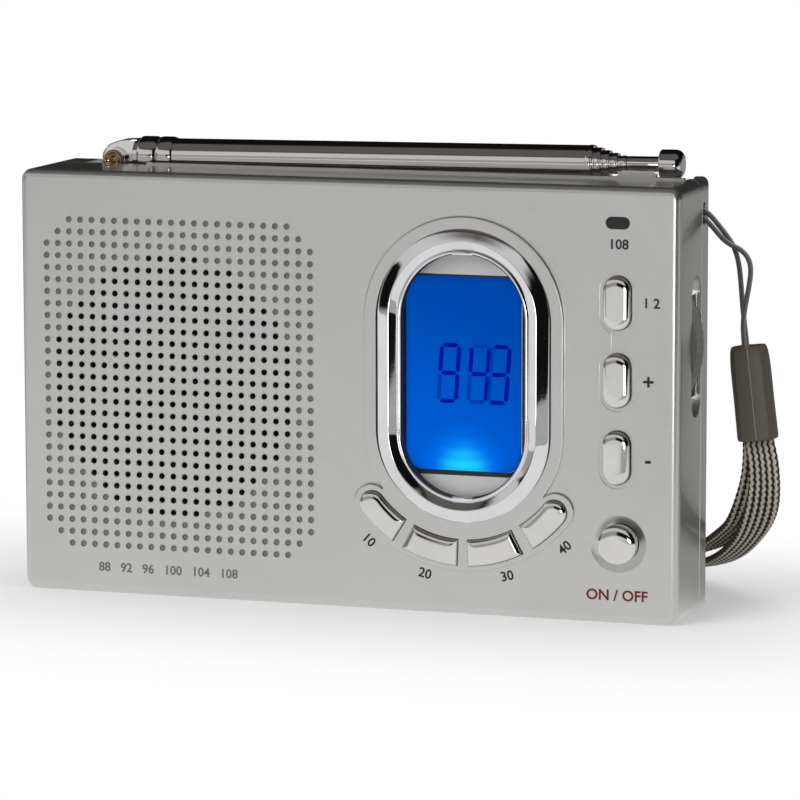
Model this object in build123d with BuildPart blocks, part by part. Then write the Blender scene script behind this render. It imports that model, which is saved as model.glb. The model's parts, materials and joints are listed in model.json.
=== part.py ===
from build123d import *
import os
from math import cos, degrees, hypot, radians, sin, tan

# Portable radio, millimetres.
# +X is to the right as the user faces the front, +Y goes from the front to the back, +Z is up.
# The origin is on the surface it stands on, under the middle of the case.

# ---------------------------------------------------------------- case
PITCH = 2.4                       # spacing of the grille holes, which sets out the whole front
WIDTH = 135.0
HEIGHT = 84.3
DEPTH = 26.0
PROUD = 1.6                       # how far the power key stands in front of the case
FRONT_Y = -(DEPTH - PROUD) / 2
REAR_Y = FRONT_Y + DEPTH
SEAM_Y = FRONT_Y + 16.4           # where the front and rear shells meet
WALL = 1.8
CORNER_R = 2.2                    # corners of the case seen from the front
FRONT_EDGE_R = 1.5
REAR_SIDE_R = 5.5                 # upright edges at the back
REAR_EDGE_R = 1.5                 # top and bottom edges at the back
SEAM_CHAMFER = 0.25
INNER_FRONT_Y = FRONT_Y + WALL
LIP_LENGTH = 1.5                  # tongue of the rear shell inside the front shell
LIP_WALL = 1.0
LIP_GAP = 0.1

# ---------------------------------------------------------------- front layout
GRILLE_COLUMNS = 24
GRILLE_ROWS = 28
GRILLE_X = -34.32                 # middle of the hole grid
GRILLE_Z = 42.14
HOLE_R = 0.58
DIMPLE_DEPTH = 0.45
SPEAKER_X = GRILLE_X - PITCH / 2
SPEAKER_Z = GRILLE_Z
OPEN_R = 10.8 * PITCH             # holes inside this circle go right through

DISPLAY_X = 24.6
DISPLAY_Z = 46.75
PLATEAU = 0.7                     # raised field round the display and the curved keys
PLATEAU_SIZE = (20.2, 31.0)       # half width and half height of each upright oval
GROOVE_SIZE = (17.7, 28.45)
RING_SIZE = (17.4, 28.15)
OPENING_SIZE = (12.7, 24.0)
LCD_AT = (23.85, 46.86)           # middle of the lit area, and of the parts behind it
LCD_SIZE = (23.7, 38.0)
LCD_R = 3.4
SEAT_SIZE = (13.6, 24.9)
SEAT_DEPTH = 0.9                  # ledge that the chrome ring lies on
RING_PROUD = 1.4

ARC_CENTRE = (DISPLAY_X, 35.95)   # the curved keys follow the round end of the display ring
ARC_INNER = 21.2
ARC_OUTER = 26.2
ARC_MIDDLE = (ARC_INNER + ARC_OUTER) / 2
ARC_FIELD = 27.3
ARC_KEYS = {                      # from and to, in degrees off straight down, and the round end
    "memory_button": (-57.0, -33.0, -1),
    "channel_up_button": (-27.5, -2.6, 0),
    "channel_down_button": (2.6, 27.5, 0),
    "lock_button": (33.0, 57.0, 1),
}
COLUMN_X = 55.2
COLUMN_KEYS = {"band_button": 62.0, "tune_up_button": 47.1, "tune_down_button": 32.2}
COLUMN_SIZE = (5.3, 10.3)
HALO = 0.9
HALO_DEPTH = 0.3
HALO_LINK = 2.4                   # shallow strip that joins the upper two halos
POWER_AT = (55.6, 15.55)
POWER_R = 3.9
DISH_R = 5.6
DISH_DEPTH = 1.1
LENS_AT = (COLUMN_X, 77.35)
LENS_SIZE = (4.7, 2.3)

KEY_GAP = 0.15                    # between a key and the hole that it moves in
KEY_PROUD = 0.8                   # above the surface round it
FLANGE_LIP = 0.8
FLANGE_T = 0.8
FLANGE_Y = INNER_FRONT_Y + 0.05
STEM_R = 1.3

# ---------------------------------------------------------------- inside
BOARD_Y = FRONT_Y + 6.9
BOARD_T = 1.2
BOARD_BACK_Y = BOARD_Y + BOARD_T
BOARD_X = (-4.0, 64.4)
BOARD_Z = (10.0, 80.0)
SWITCH_SIZE = 4.5
SWITCH_BODY = 2.0
SWITCH_PLUNGER = 0.6
SWITCH_TOP_Y = BOARD_Y - SWITCH_BODY - SWITCH_PLUNGER
PLAY = 0.6                        # free space between a key's stem and its switch
STEM_END_Y = SWITCH_TOP_Y - PLAY
BOARD_SCREWS = [(62.2, 24.2), (-1.2, 76.0), (-1.2, 14.0)]
POST_R = 2.0
JOIN_Y = -2.0                     # where the front posts meet the rear towers
CASE_SCREWS = {
    (-62.3, 76.0): (JOIN_Y, JOIN_Y),
    (-44.0, 6.0): (JOIN_Y, JOIN_Y),
    (62.3, 6.5): (JOIN_Y, JOIN_Y),
    (61.2, 72.0): (BOARD_Y, BOARD_BACK_Y),
}
CASE_POST_R = 2.2
REAR_BOSS_R = 3.2
SCREW_SEAT_Y = 6.0
SCREW_R = 1.1
SCREW_END_Y = -8.5
BOARD_SCREW_R = 0.9
THREAD_GAP = 0.02

SPEAKER_RIM_R = 28.5
RIB_R = (28.9, 30.2)
RIM_Y = (-9.6, -8.8)
SPEAKER_SCREW_R = 32.6

FERRITE_AT = (-2.0, 77.2)         # Y and Z of its axis
FERRITE_R = 4.0
FERRITE_X = (-56.0, -6.0)

WHEEL_R = 18.0
WHEEL_T = 6.0
WHEEL_PROUD = 0.8
WHEEL_X = WIDTH / 2 + WHEEL_PROUD - WHEEL_R
WHEEL_Z = 52.6
WHEEL_Y = 0.35                    # middle of its thickness
SLOT_SIZE = (27.6, 6.9)            # shallow recess round the wheel
SLOT_DEPTH = 0.9
SLOT_WINDOW = (19.8, 6.5)         # hole in the floor of that recess
FLUTES = 72

JACK_Y = -0.5
PHONE_Z = 9.5
PHONE_BORE_R = 1.78
PHONE_DEPTH = 13.4
DC_Z = 21.0

CELL_R = 7.25
CELL_Y = REAR_Y - WALL - 0.15 - CELL_R
CELL_Z = {"battery_cell_lower": 10.55, "battery_cell_upper": 25.35}
BAY_X = (3.0, 59.0)
BAY_Z = (2.9, 33.0)
BAY_FRONT_Y = CELL_Y - CELL_R - 0.15
BAY_WALL = 0.9
DOOR_X = (3.6, 58.4)
DOOR_Z = (3.4, 31.6)              # lower edge, and the axis that it turns about
DOOR_GAP = 0.2
PEG_R = 0.6

# ---------------------------------------------------------------- aerial
CHANNEL_X = (-60.0, 64.2)
CHANNEL_Z = 81.3
RIDGE_X = (-46.5, 64.2)           # low ridge along the front edge of the channel, right of the hinge
RIDGE_Y = (2.85, 4.15)
RIDGE_RISE = 0.4
LUG = [(50.2, 0.0), (51.8, 1.6), (58.0, 1.6), (58.6, 1.0), (58.6, 0.0)]
PIVOT = (-54.5, 8.6, 84.9)
TILT = 0.6                        # the folded aerial rises this many degrees to the right
AXIS_RISE = 0.7                   # the tubes lie this far above the hinge
YOKE_R = 3.6
YOKE_Z = (79.9, 81.4)
KNUCKLE_T = 3.4
EAR_T = 1.2
EAR_R = 2.3
EAR_GAP = 0.1
PIN_R = 1.3
COLLAR = (3.6, 10.7)
COLLAR_R = 3.9
TUBE_RADII = [3.5, 3.0, 2.5, 2.0, 1.5]
TUBE_ENDS = [99.4, 101.0, 102.6, 104.2, 106.0]
TUBE_START = 4.3
START_STEP = 1.5
BORE_GAP = 0.06
ROD_R = 1.0
KNOB = (112.6, 117.2)
KNOB_R = 2.9

# ---------------------------------------------------------------- strap
STRAP_R = 0.5
STRAP_Y = 5.8
STRAP_PIN = (63.8, STRAP_Y, 78.0)
STRAND_UPPER = [
    (63.8, 5.8, 79.0), (67.0, 5.8, 78.9), (69.5, 6.6, 76.4), (71.9, 7.6, 73.1), (73.5, 8.1, 69.4),
    (74.3, 8.2, 64.3), (74.6, 8.2, 60.2), (75.1, 8.2, 55.6), (75.8, 8.2, 50.6),
]
STRAND_LOWER = [
    (63.8, 5.8, 77.0), (67.2, 5.8, 76.9), (69.8, 6.1, 74.1), (72.6, 6.4, 71.8), (75.3, 6.6, 70.7),
    (76.7, 6.8, 66.9), (76.2, 6.9, 61.6), (75.0, 6.9, 56.4), (75.4, 6.9, 50.6),
]
BEAD_TOP = (75.9, 7.5, 52.2)
BEAD_BOTTOM = (78.0, 7.5, 34.0)
BEAD_SIZES = [(6.4, 5.0), (7.3, 5.8), (7.8, 6.2)]
BEAD_WALL = 0.8
BAND_R = 1.45
BAND_ROUTE = [
    (78.9, 7.5, 38.5), (79.5, 7.5, 33.0), (80.0, 8.4, 25.6), (78.0, 11.8, 18.9), (73.6, 18.6, 12.4),
    (67.2, 27.8, 6.8), (59.6, 37.0, 3.2), (48.0, 43.0, 1.7), (34.0, 45.4, 1.45), (19.0, 46.2, 1.45),
    (3.0, 45.8, 1.45), (-12.0, 44.6, 1.45), (-22.6, 41.0, 1.45), (-25.4, 35.0, 1.45), (-20.0, 30.4, 1.45),
    (-8.0, 29.4, 1.45), (6.0, 30.6, 1.45), (20.0, 32.6, 1.45), (34.0, 34.2, 1.45), (46.5, 34.6, 2.0),
    (56.0, 33.6, 4.3), (63.2, 29.0, 8.6), (68.8, 21.4, 13.6), (72.8, 15.2, 19.4), (74.9, 11.3, 26.0),
    (76.55, 7.6, 33.4), (76.0, 7.5, 38.5),
]


def keep(part, label):
    """Name a finished piece and write it to its own file."""
    part.label = label
    export_step(part, f"parts/{label}.step")


def face_plane(y):
    """A plane facing the user, with local X to the right and local Y up; -amount goes into the case."""
    return Plane(origin=(0, y, 0), x_dir=(1, 0, 0), z_dir=(0, -1, 0))


def side_plane(x):
    """A plane facing +X, with local X towards the back and local Y up."""
    return Plane(origin=(x, 0, 0), x_dir=(0, 1, 0), z_dir=(1, 0, 0))


def aerial_plane(station):
    """A plane across the folded aerial, that far along it from the hinge."""
    along = Vector(cos(radians(TILT)), 0, sin(radians(TILT)))
    up = Vector(-sin(radians(TILT)), 0, cos(radians(TILT)))
    middle = Vector(*PIVOT) + up * AXIS_RISE + along * station
    return Plane(origin=middle, x_dir=(0, 1, 0), z_dir=along)


def case_outline(inset=0.0):
    """Outline of the case from the front, drawn in the current sketch."""
    with Locations((0, HEIGHT / 2)):
        RectangleRounded(WIDTH - 2 * inset, HEIGHT - 2 * inset, max(CORNER_R - inset, 0.6))


def upright_oval(size, mode=Mode.ADD):
    """An upright oval round the display, from its half width and half height."""
    with Locations((DISPLAY_X, DISPLAY_Z)):
        SlotOverall(2 * size[1], 2 * size[0], rotation=90, mode=mode)


def arc_band(inner, outer, start, end):
    """Part of a flat ring about the arc centre, from start to end degrees off straight down."""
    with BuildLine() as edge:
        near = CenterArc(ARC_CENTRE, inner, 270 + start, end - start)
        far = CenterArc(ARC_CENTRE, outer, 270 + start, end - start)
        Line(near @ 0, far @ 0)
        Line(near @ 1, far @ 1)
    make_face(edge.edges())


def arc_point(angle, radius=ARC_MIDDLE):
    """The point at that radius, that many degrees off straight down."""
    return (ARC_CENTRE[0] + radius * sin(radians(angle)), ARC_CENTRE[1] - radius * cos(radians(angle)))


def draw_arc_key(label, margin):
    """One curved key, grown by margin all round."""
    start, end, round_end = ARC_KEYS[label]
    half = (ARC_OUTER - ARC_INNER) / 2
    spread = degrees(margin / ARC_MIDDLE)
    cap = degrees(half / ARC_MIDDLE)
    low = start + cap if round_end < 0 else start - spread
    high = end - cap if round_end > 0 else end + spread
    arc_band(ARC_INNER - margin, ARC_OUTER + margin, low, high)
    if round_end:
        with Locations(arc_point(low if round_end < 0 else high)):
            Circle(half + margin)


def draw_column_key(label, margin):
    """One upright oval key of the right-hand column, grown by margin all round."""
    with Locations((COLUMN_X, COLUMN_KEYS[label])):
        SlotOverall(COLUMN_SIZE[1] + 2 * margin, COLUMN_SIZE[0] + 2 * margin, rotation=90)


def draw_power_key(margin):
    """The round power key, grown by margin."""
    with Locations(POWER_AT):
        Circle(POWER_R + margin)


def case_block(front, back, inset):
    """The case between two depths, with its outside moved in by inset and the back edges rounded."""
    with BuildPart() as block:
        with BuildSketch(face_plane(front)):
            case_outline(inset)
        extrude(amount=-(back - front))
        with BuildSketch(Plane.XY):
            with Locations((0, (front - DEPTH + back) / 2)):
                RectangleRounded(WIDTH - 2 * inset, back - front + DEPTH, REAR_SIDE_R - inset / 2)
        extrude(amount=HEIGHT, mode=Mode.INTERSECT)
        with BuildSketch(side_plane(-WIDTH / 2)):
            with Locations(((front - DEPTH + back) / 2, HEIGHT / 2)):
                RectangleRounded(back - front + DEPTH, HEIGHT - 2 * inset, max(REAR_EDGE_R - inset / 2, 0.5))
        extrude(amount=WIDTH, mode=Mode.INTERSECT)
    return block.part


def grille_points():
    """Centres of the grille's open holes and of its blind dimples."""
    through, blind = [], []
    for column in range(GRILLE_COLUMNS):
        for row in range(GRILLE_ROWS):
            from_side = min(column, GRILLE_COLUMNS - 1 - column)
            from_end = min(row, GRILLE_ROWS - 1 - row)
            if from_side + from_end < 2:
                continue
            x = GRILLE_X + (column - (GRILLE_COLUMNS - 1) / 2) * PITCH
            z = GRILLE_Z + (row - (GRILLE_ROWS - 1) / 2) * PITCH
            inside = hypot(x - SPEAKER_X, z - SPEAKER_Z) < OPEN_R
            (through if inside else blind).append((x, z))
    return through, blind


def around_speaker():
    """Centres of the four screws that clamp the loudspeaker."""
    return [
        (SPEAKER_X + sx * SPEAKER_SCREW_R * sin(radians(45)), SPEAKER_Z + sz * SPEAKER_SCREW_R * sin(radians(45)))
        for sx in (-1, 1)
        for sz in (-1, 1)
    ]


def switch_points():
    """Where the stem of each key meets its switch."""
    curved = [arc_point((start + end) / 2) for start, end, _ in ARC_KEYS.values()]
    column = [(COLUMN_X, z) for z in COLUMN_KEYS.values()]
    return curved + column + [POWER_AT]


# ---------------------------------------------------------------- shells
def make_front_shell():
    """Front half of the case: face, grille, key holes, display seat and the posts inside."""
    through, blind = grille_points()
    with BuildPart() as shell:
        with BuildSketch(face_plane(FRONT_Y)):
            case_outline()
        extrude(amount=-(SEAM_Y - FRONT_Y))
        fillet(shell.edges().group_by(Axis.Y)[0], FRONT_EDGE_R)
        chamfer(shell.edges().group_by(Axis.Y)[-1], SEAM_CHAMFER)
        with BuildSketch(face_plane(INNER_FRONT_Y)):
            case_outline(WALL)
        extrude(amount=-(SEAM_Y - INNER_FRONT_Y), mode=Mode.SUBTRACT)
        # raised field round the display and the curved keys
        with BuildSketch(face_plane(FRONT_Y)):
            upright_oval(PLATEAU_SIZE)
            arc_band(ARC_INNER - 3, ARC_FIELD, -52, 52)
            with Locations(arc_point(-52), arc_point(52)):
                Circle(ARC_FIELD - ARC_MIDDLE)
        extrude(amount=PLATEAU)
        fillet(shell.faces().sort_by(Axis.Y)[0].edges(), 0.35)
        # seat and opening of the display
        with BuildSketch(face_plane(FRONT_Y - PLATEAU)):
            upright_oval(GROOVE_SIZE)
        extrude(amount=-(PLATEAU + SEAT_DEPTH), mode=Mode.SUBTRACT)
        with BuildSketch(face_plane(FRONT_Y)):
            upright_oval(SEAT_SIZE)
        extrude(amount=-WALL, mode=Mode.SUBTRACT)
        # key holes, the shallow halo round each upright key, and the dish of the power key
        with BuildSketch(face_plane(FRONT_Y - PLATEAU)):
            for label in ARC_KEYS:
                draw_arc_key(label, KEY_GAP)
            for label in COLUMN_KEYS:
                draw_column_key(label, KEY_GAP)
            draw_power_key(KEY_GAP)
        extrude(amount=-(PLATEAU + WALL), mode=Mode.SUBTRACT)
        with BuildSketch(face_plane(FRONT_Y)):
            for label in COLUMN_KEYS:
                draw_column_key(label, HALO)
            with Locations((COLUMN_X, (COLUMN_KEYS["band_button"] + COLUMN_KEYS["tune_up_button"]) / 2)):
                Rectangle(HALO_LINK, COLUMN_KEYS["band_button"] - COLUMN_KEYS["tune_up_button"])
        extrude(amount=-HALO_DEPTH, mode=Mode.SUBTRACT)
        ball = (DISH_R**2 + DISH_DEPTH**2) / (2 * DISH_DEPTH)
        with Locations((POWER_AT[0], FRONT_Y + DISH_DEPTH - ball, POWER_AT[1])):
            Sphere(ball, mode=Mode.SUBTRACT)
        # window of the tuning lamp
        with BuildSketch(face_plane(FRONT_Y)):
            with Locations(LENS_AT):
                SlotOverall(LENS_SIZE[0] + 0.1, LENS_SIZE[1] + 0.1)
        extrude(amount=-WALL, mode=Mode.SUBTRACT)
        # ridge in front of the aerial, with the lug that guards its thin rod
        ridge_y = sum(RIDGE_Y) / 2
        ridge_width = RIDGE_Y[1] - RIDGE_Y[0]
        with Locations((sum(RIDGE_X) / 2, ridge_y, HEIGHT + RIDGE_RISE / 2 - 0.2)):
            Box(RIDGE_X[1] - RIDGE_X[0], ridge_width, RIDGE_RISE + 0.4)
        with BuildSketch(Plane.XZ.offset(-RIDGE_Y[0])):
            with BuildLine():
                foot = [(LUG[-1][0], HEIGHT - 0.4), (LUG[0][0], HEIGHT - 0.4)]
                Polyline(*[(x, HEIGHT + rise) for x, rise in LUG], *foot, close=True)
            make_face()
        extrude(amount=-ridge_width)
        # posts for the board and the case screws, and the rib that centres the loudspeaker
        with BuildSketch(face_plane(INNER_FRONT_Y)):
            with Locations(*BOARD_SCREWS):
                Circle(POST_R)
                Circle(BOARD_SCREW_R + THREAD_GAP, mode=Mode.SUBTRACT)
        extrude(amount=-(BOARD_Y - INNER_FRONT_Y))
        for place, (post_y, _) in CASE_SCREWS.items():
            with BuildSketch(face_plane(INNER_FRONT_Y)):
                with Locations(place):
                    Circle(CASE_POST_R)
                    Circle(SCREW_R + THREAD_GAP, mode=Mode.SUBTRACT)
            extrude(amount=-(post_y - INNER_FRONT_Y))
        with BuildSketch(face_plane(INNER_FRONT_Y)):
            with Locations((SPEAKER_X, SPEAKER_Z)):
                Circle(RIB_R[1])
                Circle(RIB_R[0], mode=Mode.SUBTRACT)
            with Locations(*around_speaker()):
                Circle(POST_R)
                Circle(BOARD_SCREW_R + THREAD_GAP, mode=Mode.SUBTRACT)
        extrude(amount=-(RIM_Y[1] - INNER_FRONT_Y))
        # slot of the volume wheel and the two sockets
        with BuildSketch(side_plane(WIDTH / 2 + 1)):
            with Locations((WHEEL_Y, WHEEL_Z)):
                SlotOverall(*SLOT_SIZE, rotation=90)
        extrude(amount=-(SLOT_DEPTH + 1), mode=Mode.SUBTRACT)
        with BuildSketch(side_plane(WIDTH / 2 + 1)):
            with Locations((WHEEL_Y, WHEEL_Z)):
                RectangleRounded(SLOT_WINDOW[1], SLOT_WINDOW[0], 0.5)
        extrude(amount=-(WALL + 2), mode=Mode.SUBTRACT)
        with BuildSketch(side_plane(-WIDTH / 2 - 1)):
            with Locations((JACK_Y, PHONE_Z)):
                Circle(3.2)
            with Locations((JACK_Y, DC_Z)):
                Circle(4.3)
        extrude(amount=WALL + 2, mode=Mode.SUBTRACT)
        # grille
        with BuildSketch(face_plane(FRONT_Y)):
            with Locations(*through):
                Circle(HOLE_R)
        extrude(amount=-WALL, mode=Mode.SUBTRACT)
        with BuildSketch(face_plane(FRONT_Y)):
            with Locations(*blind):
                Circle(HOLE_R)
        extrude(amount=-DIMPLE_DEPTH, mode=Mode.SUBTRACT)
    keep(shell.part, "front_shell")


def make_rear_shell():
    """Rear half of the case: aerial channel, battery bay, screw towers and the strap pocket."""
    outside = case_block(SEAM_Y, REAR_Y, 0)
    cavity = case_block(SEAM_Y, REAR_Y - WALL, WALL)
    channel_length = CHANNEL_X[1] - CHANNEL_X[0]
    channel_x = sum(CHANNEL_X) / 2
    with BuildPart() as shell:
        add(outside)
        chamfer(shell.edges().group_by(Axis.Y)[0], SEAM_CHAMFER)
        add(cavity, mode=Mode.SUBTRACT)
        # tongue that locates it in the front shell
        with BuildSketch(face_plane(SEAM_Y + 1.2)):
            case_outline(WALL - 0.2)
            with Locations((0, HEIGHT / 2)):
                inner = WALL + LIP_GAP + LIP_WALL
                RectangleRounded(WIDTH - 2 * inner, HEIGHT - 2 * inner, 0.6, mode=Mode.SUBTRACT)
        extrude(amount=1.2)
        with BuildSketch(face_plane(SEAM_Y)):
            case_outline(WALL + LIP_GAP)
            with Locations((0, HEIGHT / 2)):
                RectangleRounded(WIDTH - 2 * inner, HEIGHT - 2 * inner, 0.6, mode=Mode.SUBTRACT)
        extrude(amount=LIP_LENGTH)
        # floor, ends and front wall of the aerial channel
        with BuildSketch(Plane.XY.offset(CHANNEL_Z - 1.5)):
            with Locations((channel_x, (SEAM_Y + REAR_Y - 1) / 2)):
                Rectangle(channel_length + 3.0, REAR_Y - 1 - SEAM_Y)
        extrude(amount=HEIGHT - WALL - CHANNEL_Z + 1.5)
        with BuildSketch(Plane.XY.offset(CHANNEL_Z - 1.5)):
            with Locations((channel_x, SEAM_Y - LIP_LENGTH / 2)):
                Rectangle(channel_length + 3.0, LIP_LENGTH)
        extrude(amount=HEIGHT - WALL - LIP_GAP - CHANNEL_Z + 1.5)
        with BuildSketch(Plane.XY.offset(YOKE_Z[0] - 1.9)):
            with Locations((PIVOT[0], PIVOT[1])):
                Circle(5.0)
        extrude(amount=CHANNEL_Z - YOKE_Z[0] + 1.9)
        with BuildSketch(Plane.XY.offset(CHANNEL_Z)):
            with Locations((channel_x, SEAM_Y + DEPTH / 2)):
                Rectangle(channel_length, DEPTH)
        extrude(amount=HEIGHT - CHANNEL_Z, mode=Mode.SUBTRACT)
        with BuildSketch(Plane.XY.offset(YOKE_Z[0])):
            with Locations((PIVOT[0], PIVOT[1])):
                Circle(YOKE_R + 0.15)
        extrude(amount=CHANNEL_Z - YOKE_Z[0], mode=Mode.SUBTRACT)
        with BuildSketch(Plane.XY.offset(YOKE_Z[0] - 2)):
            with Locations((PIVOT[0], PIVOT[1])):
                Circle(2.06)
        extrude(amount=2, mode=Mode.SUBTRACT)
        # groove that lets the second tube slide out over the end of the channel
        groove_start = CHANNEL_X[1] - PIVOT[0] - 0.5
        groove = aerial_solid(TUBE_RADII[1] + 0.2, groove_start, WIDTH / 2 - PIVOT[0] + 2)
        add(groove, mode=Mode.SUBTRACT)
        # battery bay, open at the back behind its door
        with BuildSketch(face_plane(BAY_FRONT_Y - BAY_WALL)):
            with Locations((sum(BAY_X) / 2, (BAY_Z[1] + BAY_WALL + 2.0) / 2)):
                Rectangle(BAY_X[1] - BAY_X[0] + 2, BAY_Z[1] + BAY_WALL - 2.0)
        extrude(amount=-(REAR_Y - 1 - BAY_FRONT_Y + BAY_WALL))
        with BuildSketch(face_plane(BAY_FRONT_Y)):
            with Locations((sum(BAY_X) / 2, sum(BAY_Z) / 2)):
                Rectangle(BAY_X[1] - BAY_X[0], BAY_Z[1] - BAY_Z[0])
        extrude(amount=-(REAR_Y - WALL - BAY_FRONT_Y), mode=Mode.SUBTRACT)
        door_top = DOOR_Z[1] + WALL / 2
        with BuildSketch(face_plane(REAR_Y - WALL)):
            with Locations((sum(DOOR_X) / 2, (DOOR_Z[0] + door_top) / 2)):
                Rectangle(DOOR_X[1] - DOOR_X[0] + 2 * DOOR_GAP, door_top - DOOR_Z[0] + 2 * DOOR_GAP)
        extrude(amount=-WALL, mode=Mode.SUBTRACT)
        with BuildSketch(side_plane(DOOR_X[0] - 1.2)):
            with Locations((REAR_Y - WALL / 2, DOOR_Z[1])):
                Circle(PEG_R + 0.05)
        extrude(amount=DOOR_X[1] - DOOR_X[0] + 2.4, mode=Mode.SUBTRACT)
        # thumb notch under the door's latch
        with Locations((sum(DOOR_X) / 2, REAR_Y + 5.2, DOOR_Z[0])):
            Sphere(6.2, mode=Mode.SUBTRACT)
        # screw towers
        for place, (_, tower_y) in CASE_SCREWS.items():
            with BuildSketch(face_plane(tower_y)):
                with Locations(place):
                    Circle(REAR_BOSS_R)
            extrude(amount=-(REAR_Y - 1 - tower_y))
        for place, (_, tower_y) in CASE_SCREWS.items():
            with BuildSketch(face_plane(tower_y)):
                with Locations(place):
                    Circle(SCREW_R + 0.15)
            extrude(amount=-(REAR_Y - tower_y), mode=Mode.SUBTRACT)
            with BuildSketch(face_plane(SCREW_SEAT_Y)):
                with Locations(place):
                    Circle(2.5)
            extrude(amount=-(REAR_Y - SCREW_SEAT_Y), mode=Mode.SUBTRACT)
        # pocket and mouth for the strap, with a block that carries its pin
        with Locations((64.2, 6.8, 78.4)):
            Box(4.8, 5.2, 5.4)
        with Locations((63.9, 6.4, 78.0)):
            Box(3.6, 2.6, 3.7, mode=Mode.SUBTRACT)
        with BuildSketch(side_plane(STRAP_PIN[0])):
            with Locations((STRAP_Y, STRAP_PIN[2] - 0.2)):
                SlotOverall(4.4, 1.9, rotation=90)
        extrude(amount=WIDTH / 2 - STRAP_PIN[0] + 1, mode=Mode.SUBTRACT)
        with BuildSketch(face_plane(SEAM_Y)):
            with Locations((STRAP_PIN[0], STRAP_PIN[2])):
                Circle(0.5)
        extrude(amount=-5.0, mode=Mode.SUBTRACT)
        # way for the volume wheel
        with BuildSketch(side_plane(WIDTH / 2 + 1)):
            with Locations((WHEEL_Y, WHEEL_Z)):
                SlotOverall(*SLOT_SIZE, rotation=90)
        extrude(amount=-6, mode=Mode.SUBTRACT)
        # room for the sockets beside the tongue
        with Locations((-WIDTH / 2 + WALL + 0.6, SEAM_Y - LIP_LENGTH / 2, 15.5)):
            Box(1.5, LIP_LENGTH, 23.0, mode=Mode.SUBTRACT)
        # sound slots behind the loudspeaker
        with BuildSketch(face_plane(REAR_Y - WALL)):
            with Locations(*[(SPEAKER_X, SPEAKER_Z + k * 6.0) for k in range(-2, 3)]):
                SlotOverall(26.0, 1.8)
        extrude(amount=-WALL, mode=Mode.SUBTRACT)
    keep(shell.part, "rear_shell")


def make_battery_door():
    """Door of the battery bay: it turns on two pegs along its rounded top edge."""
    with BuildPart() as door:
        with BuildSketch(side_plane(DOOR_X[0])):
            middle_y = REAR_Y - WALL / 2
            with Locations((middle_y, (DOOR_Z[0] + DOOR_Z[1]) / 2)):
                Rectangle(WALL, DOOR_Z[1] - DOOR_Z[0])
            with Locations((middle_y, DOOR_Z[1])):
                Circle(WALL / 2)
        extrude(amount=DOOR_X[1] - DOOR_X[0])
        with BuildSketch(side_plane(DOOR_X[0] - 1.0)):
            with Locations((middle_y, DOOR_Z[1])):
                Circle(PEG_R)
        extrude(amount=DOOR_X[1] - DOOR_X[0] + 2.0)
        # ribs for the thumb
        with BuildSketch(face_plane(REAR_Y)):
            with Locations(*[(sum(DOOR_X) / 2, DOOR_Z[0] + 3.0 + 1.6 * k) for k in range(5)]):
                SlotOverall(16.0, 0.7)
        extrude(amount=0.35, mode=Mode.SUBTRACT)
    keep(door.part, "battery_door")


# ---------------------------------------------------------------- display
def make_display():
    """Chrome ring, clear window, silver mask, glass display and its backlight."""
    with BuildPart() as ring:
        with BuildSketch(face_plane(FRONT_Y + SEAT_DEPTH)):
            upright_oval(RING_SIZE)
            upright_oval(OPENING_SIZE, mode=Mode.SUBTRACT)
        extrude(amount=SEAT_DEPTH + RING_PROUD)
        rims = ring.faces().sort_by(Axis.Y)[0]
        fillet(rims.outer_wire().edges(), 1.0)
        rims = ring.faces().sort_by(Axis.Y)[0]
        fillet(rims.inner_wires()[0].edges(), 1.8)
    keep(ring.part, "display_ring")
    with BuildPart() as window:
        with BuildSketch(face_plane(INNER_FRONT_Y)):
            upright_oval((SEAT_SIZE[0] - 0.1, SEAT_SIZE[1] - 0.1))
        extrude(amount=WALL - SEAT_DEPTH - 0.05)
    keep(window.part, "display_window")
    with BuildPart() as mask:
        with BuildSketch(face_plane(INNER_FRONT_Y + 0.05)):
            upright_oval((15.4, 26.7))
            with Locations(LCD_AT):
                RectangleRounded(*LCD_SIZE, LCD_R, mode=Mode.SUBTRACT)
        extrude(amount=-0.5)
    keep(mask.part, "display_mask")
    with BuildPart() as panel:
        with BuildSketch(face_plane(INNER_FRONT_Y + 0.6)):
            with Locations(LCD_AT):
                RectangleRounded(27.6, 41.0, 0.5)
        extrude(amount=-2.0)
    keep(panel.part, "lcd_panel")
    with BuildPart() as light:
        with BuildSketch(face_plane(INNER_FRONT_Y + 2.65)):
            with Locations(LCD_AT):
                RectangleRounded(26.6, 40.0, 0.5)
        extrude(amount=-(BOARD_Y - INNER_FRONT_Y - 2.7))
    keep(light.part, "backlight")


# ---------------------------------------------------------------- keys
def make_key(label, draw, centre, surface_y, proud, crown):
    """One key: cap with a rounded crown, the flange that holds it in, and the stem to its switch."""
    front = surface_y - proud
    with BuildPart() as key:
        with BuildSketch(face_plane(front)):
            draw(0)
        extrude(amount=-(FLANGE_Y - front))
        fillet(key.faces().sort_by(Axis.Y)[0].edges(), crown)
        with BuildSketch(face_plane(FLANGE_Y)):
            draw(FLANGE_LIP)
        extrude(amount=-FLANGE_T)
        with BuildSketch(face_plane(FLANGE_Y + FLANGE_T)):
            with Locations(centre):
                Circle(STEM_R)
        extrude(amount=-(STEM_END_Y - FLANGE_Y - FLANGE_T))
    keep(key.part, label)


def make_keys():
    """The four curved keys, the three upright keys and the power key."""
    for label, (start, end, _) in ARC_KEYS.items():
        make_key(label, lambda m, n=label: draw_arc_key(n, m), arc_point((start + end) / 2),
                 FRONT_Y - PLATEAU, KEY_PROUD, 0.7)
    for label, z in COLUMN_KEYS.items():
        make_key(label, lambda m, n=label: draw_column_key(n, m), (COLUMN_X, z), FRONT_Y, 1.0, 0.9)
    make_key("power_button", draw_power_key, POWER_AT, FRONT_Y, PROUD, 0.6)


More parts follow.
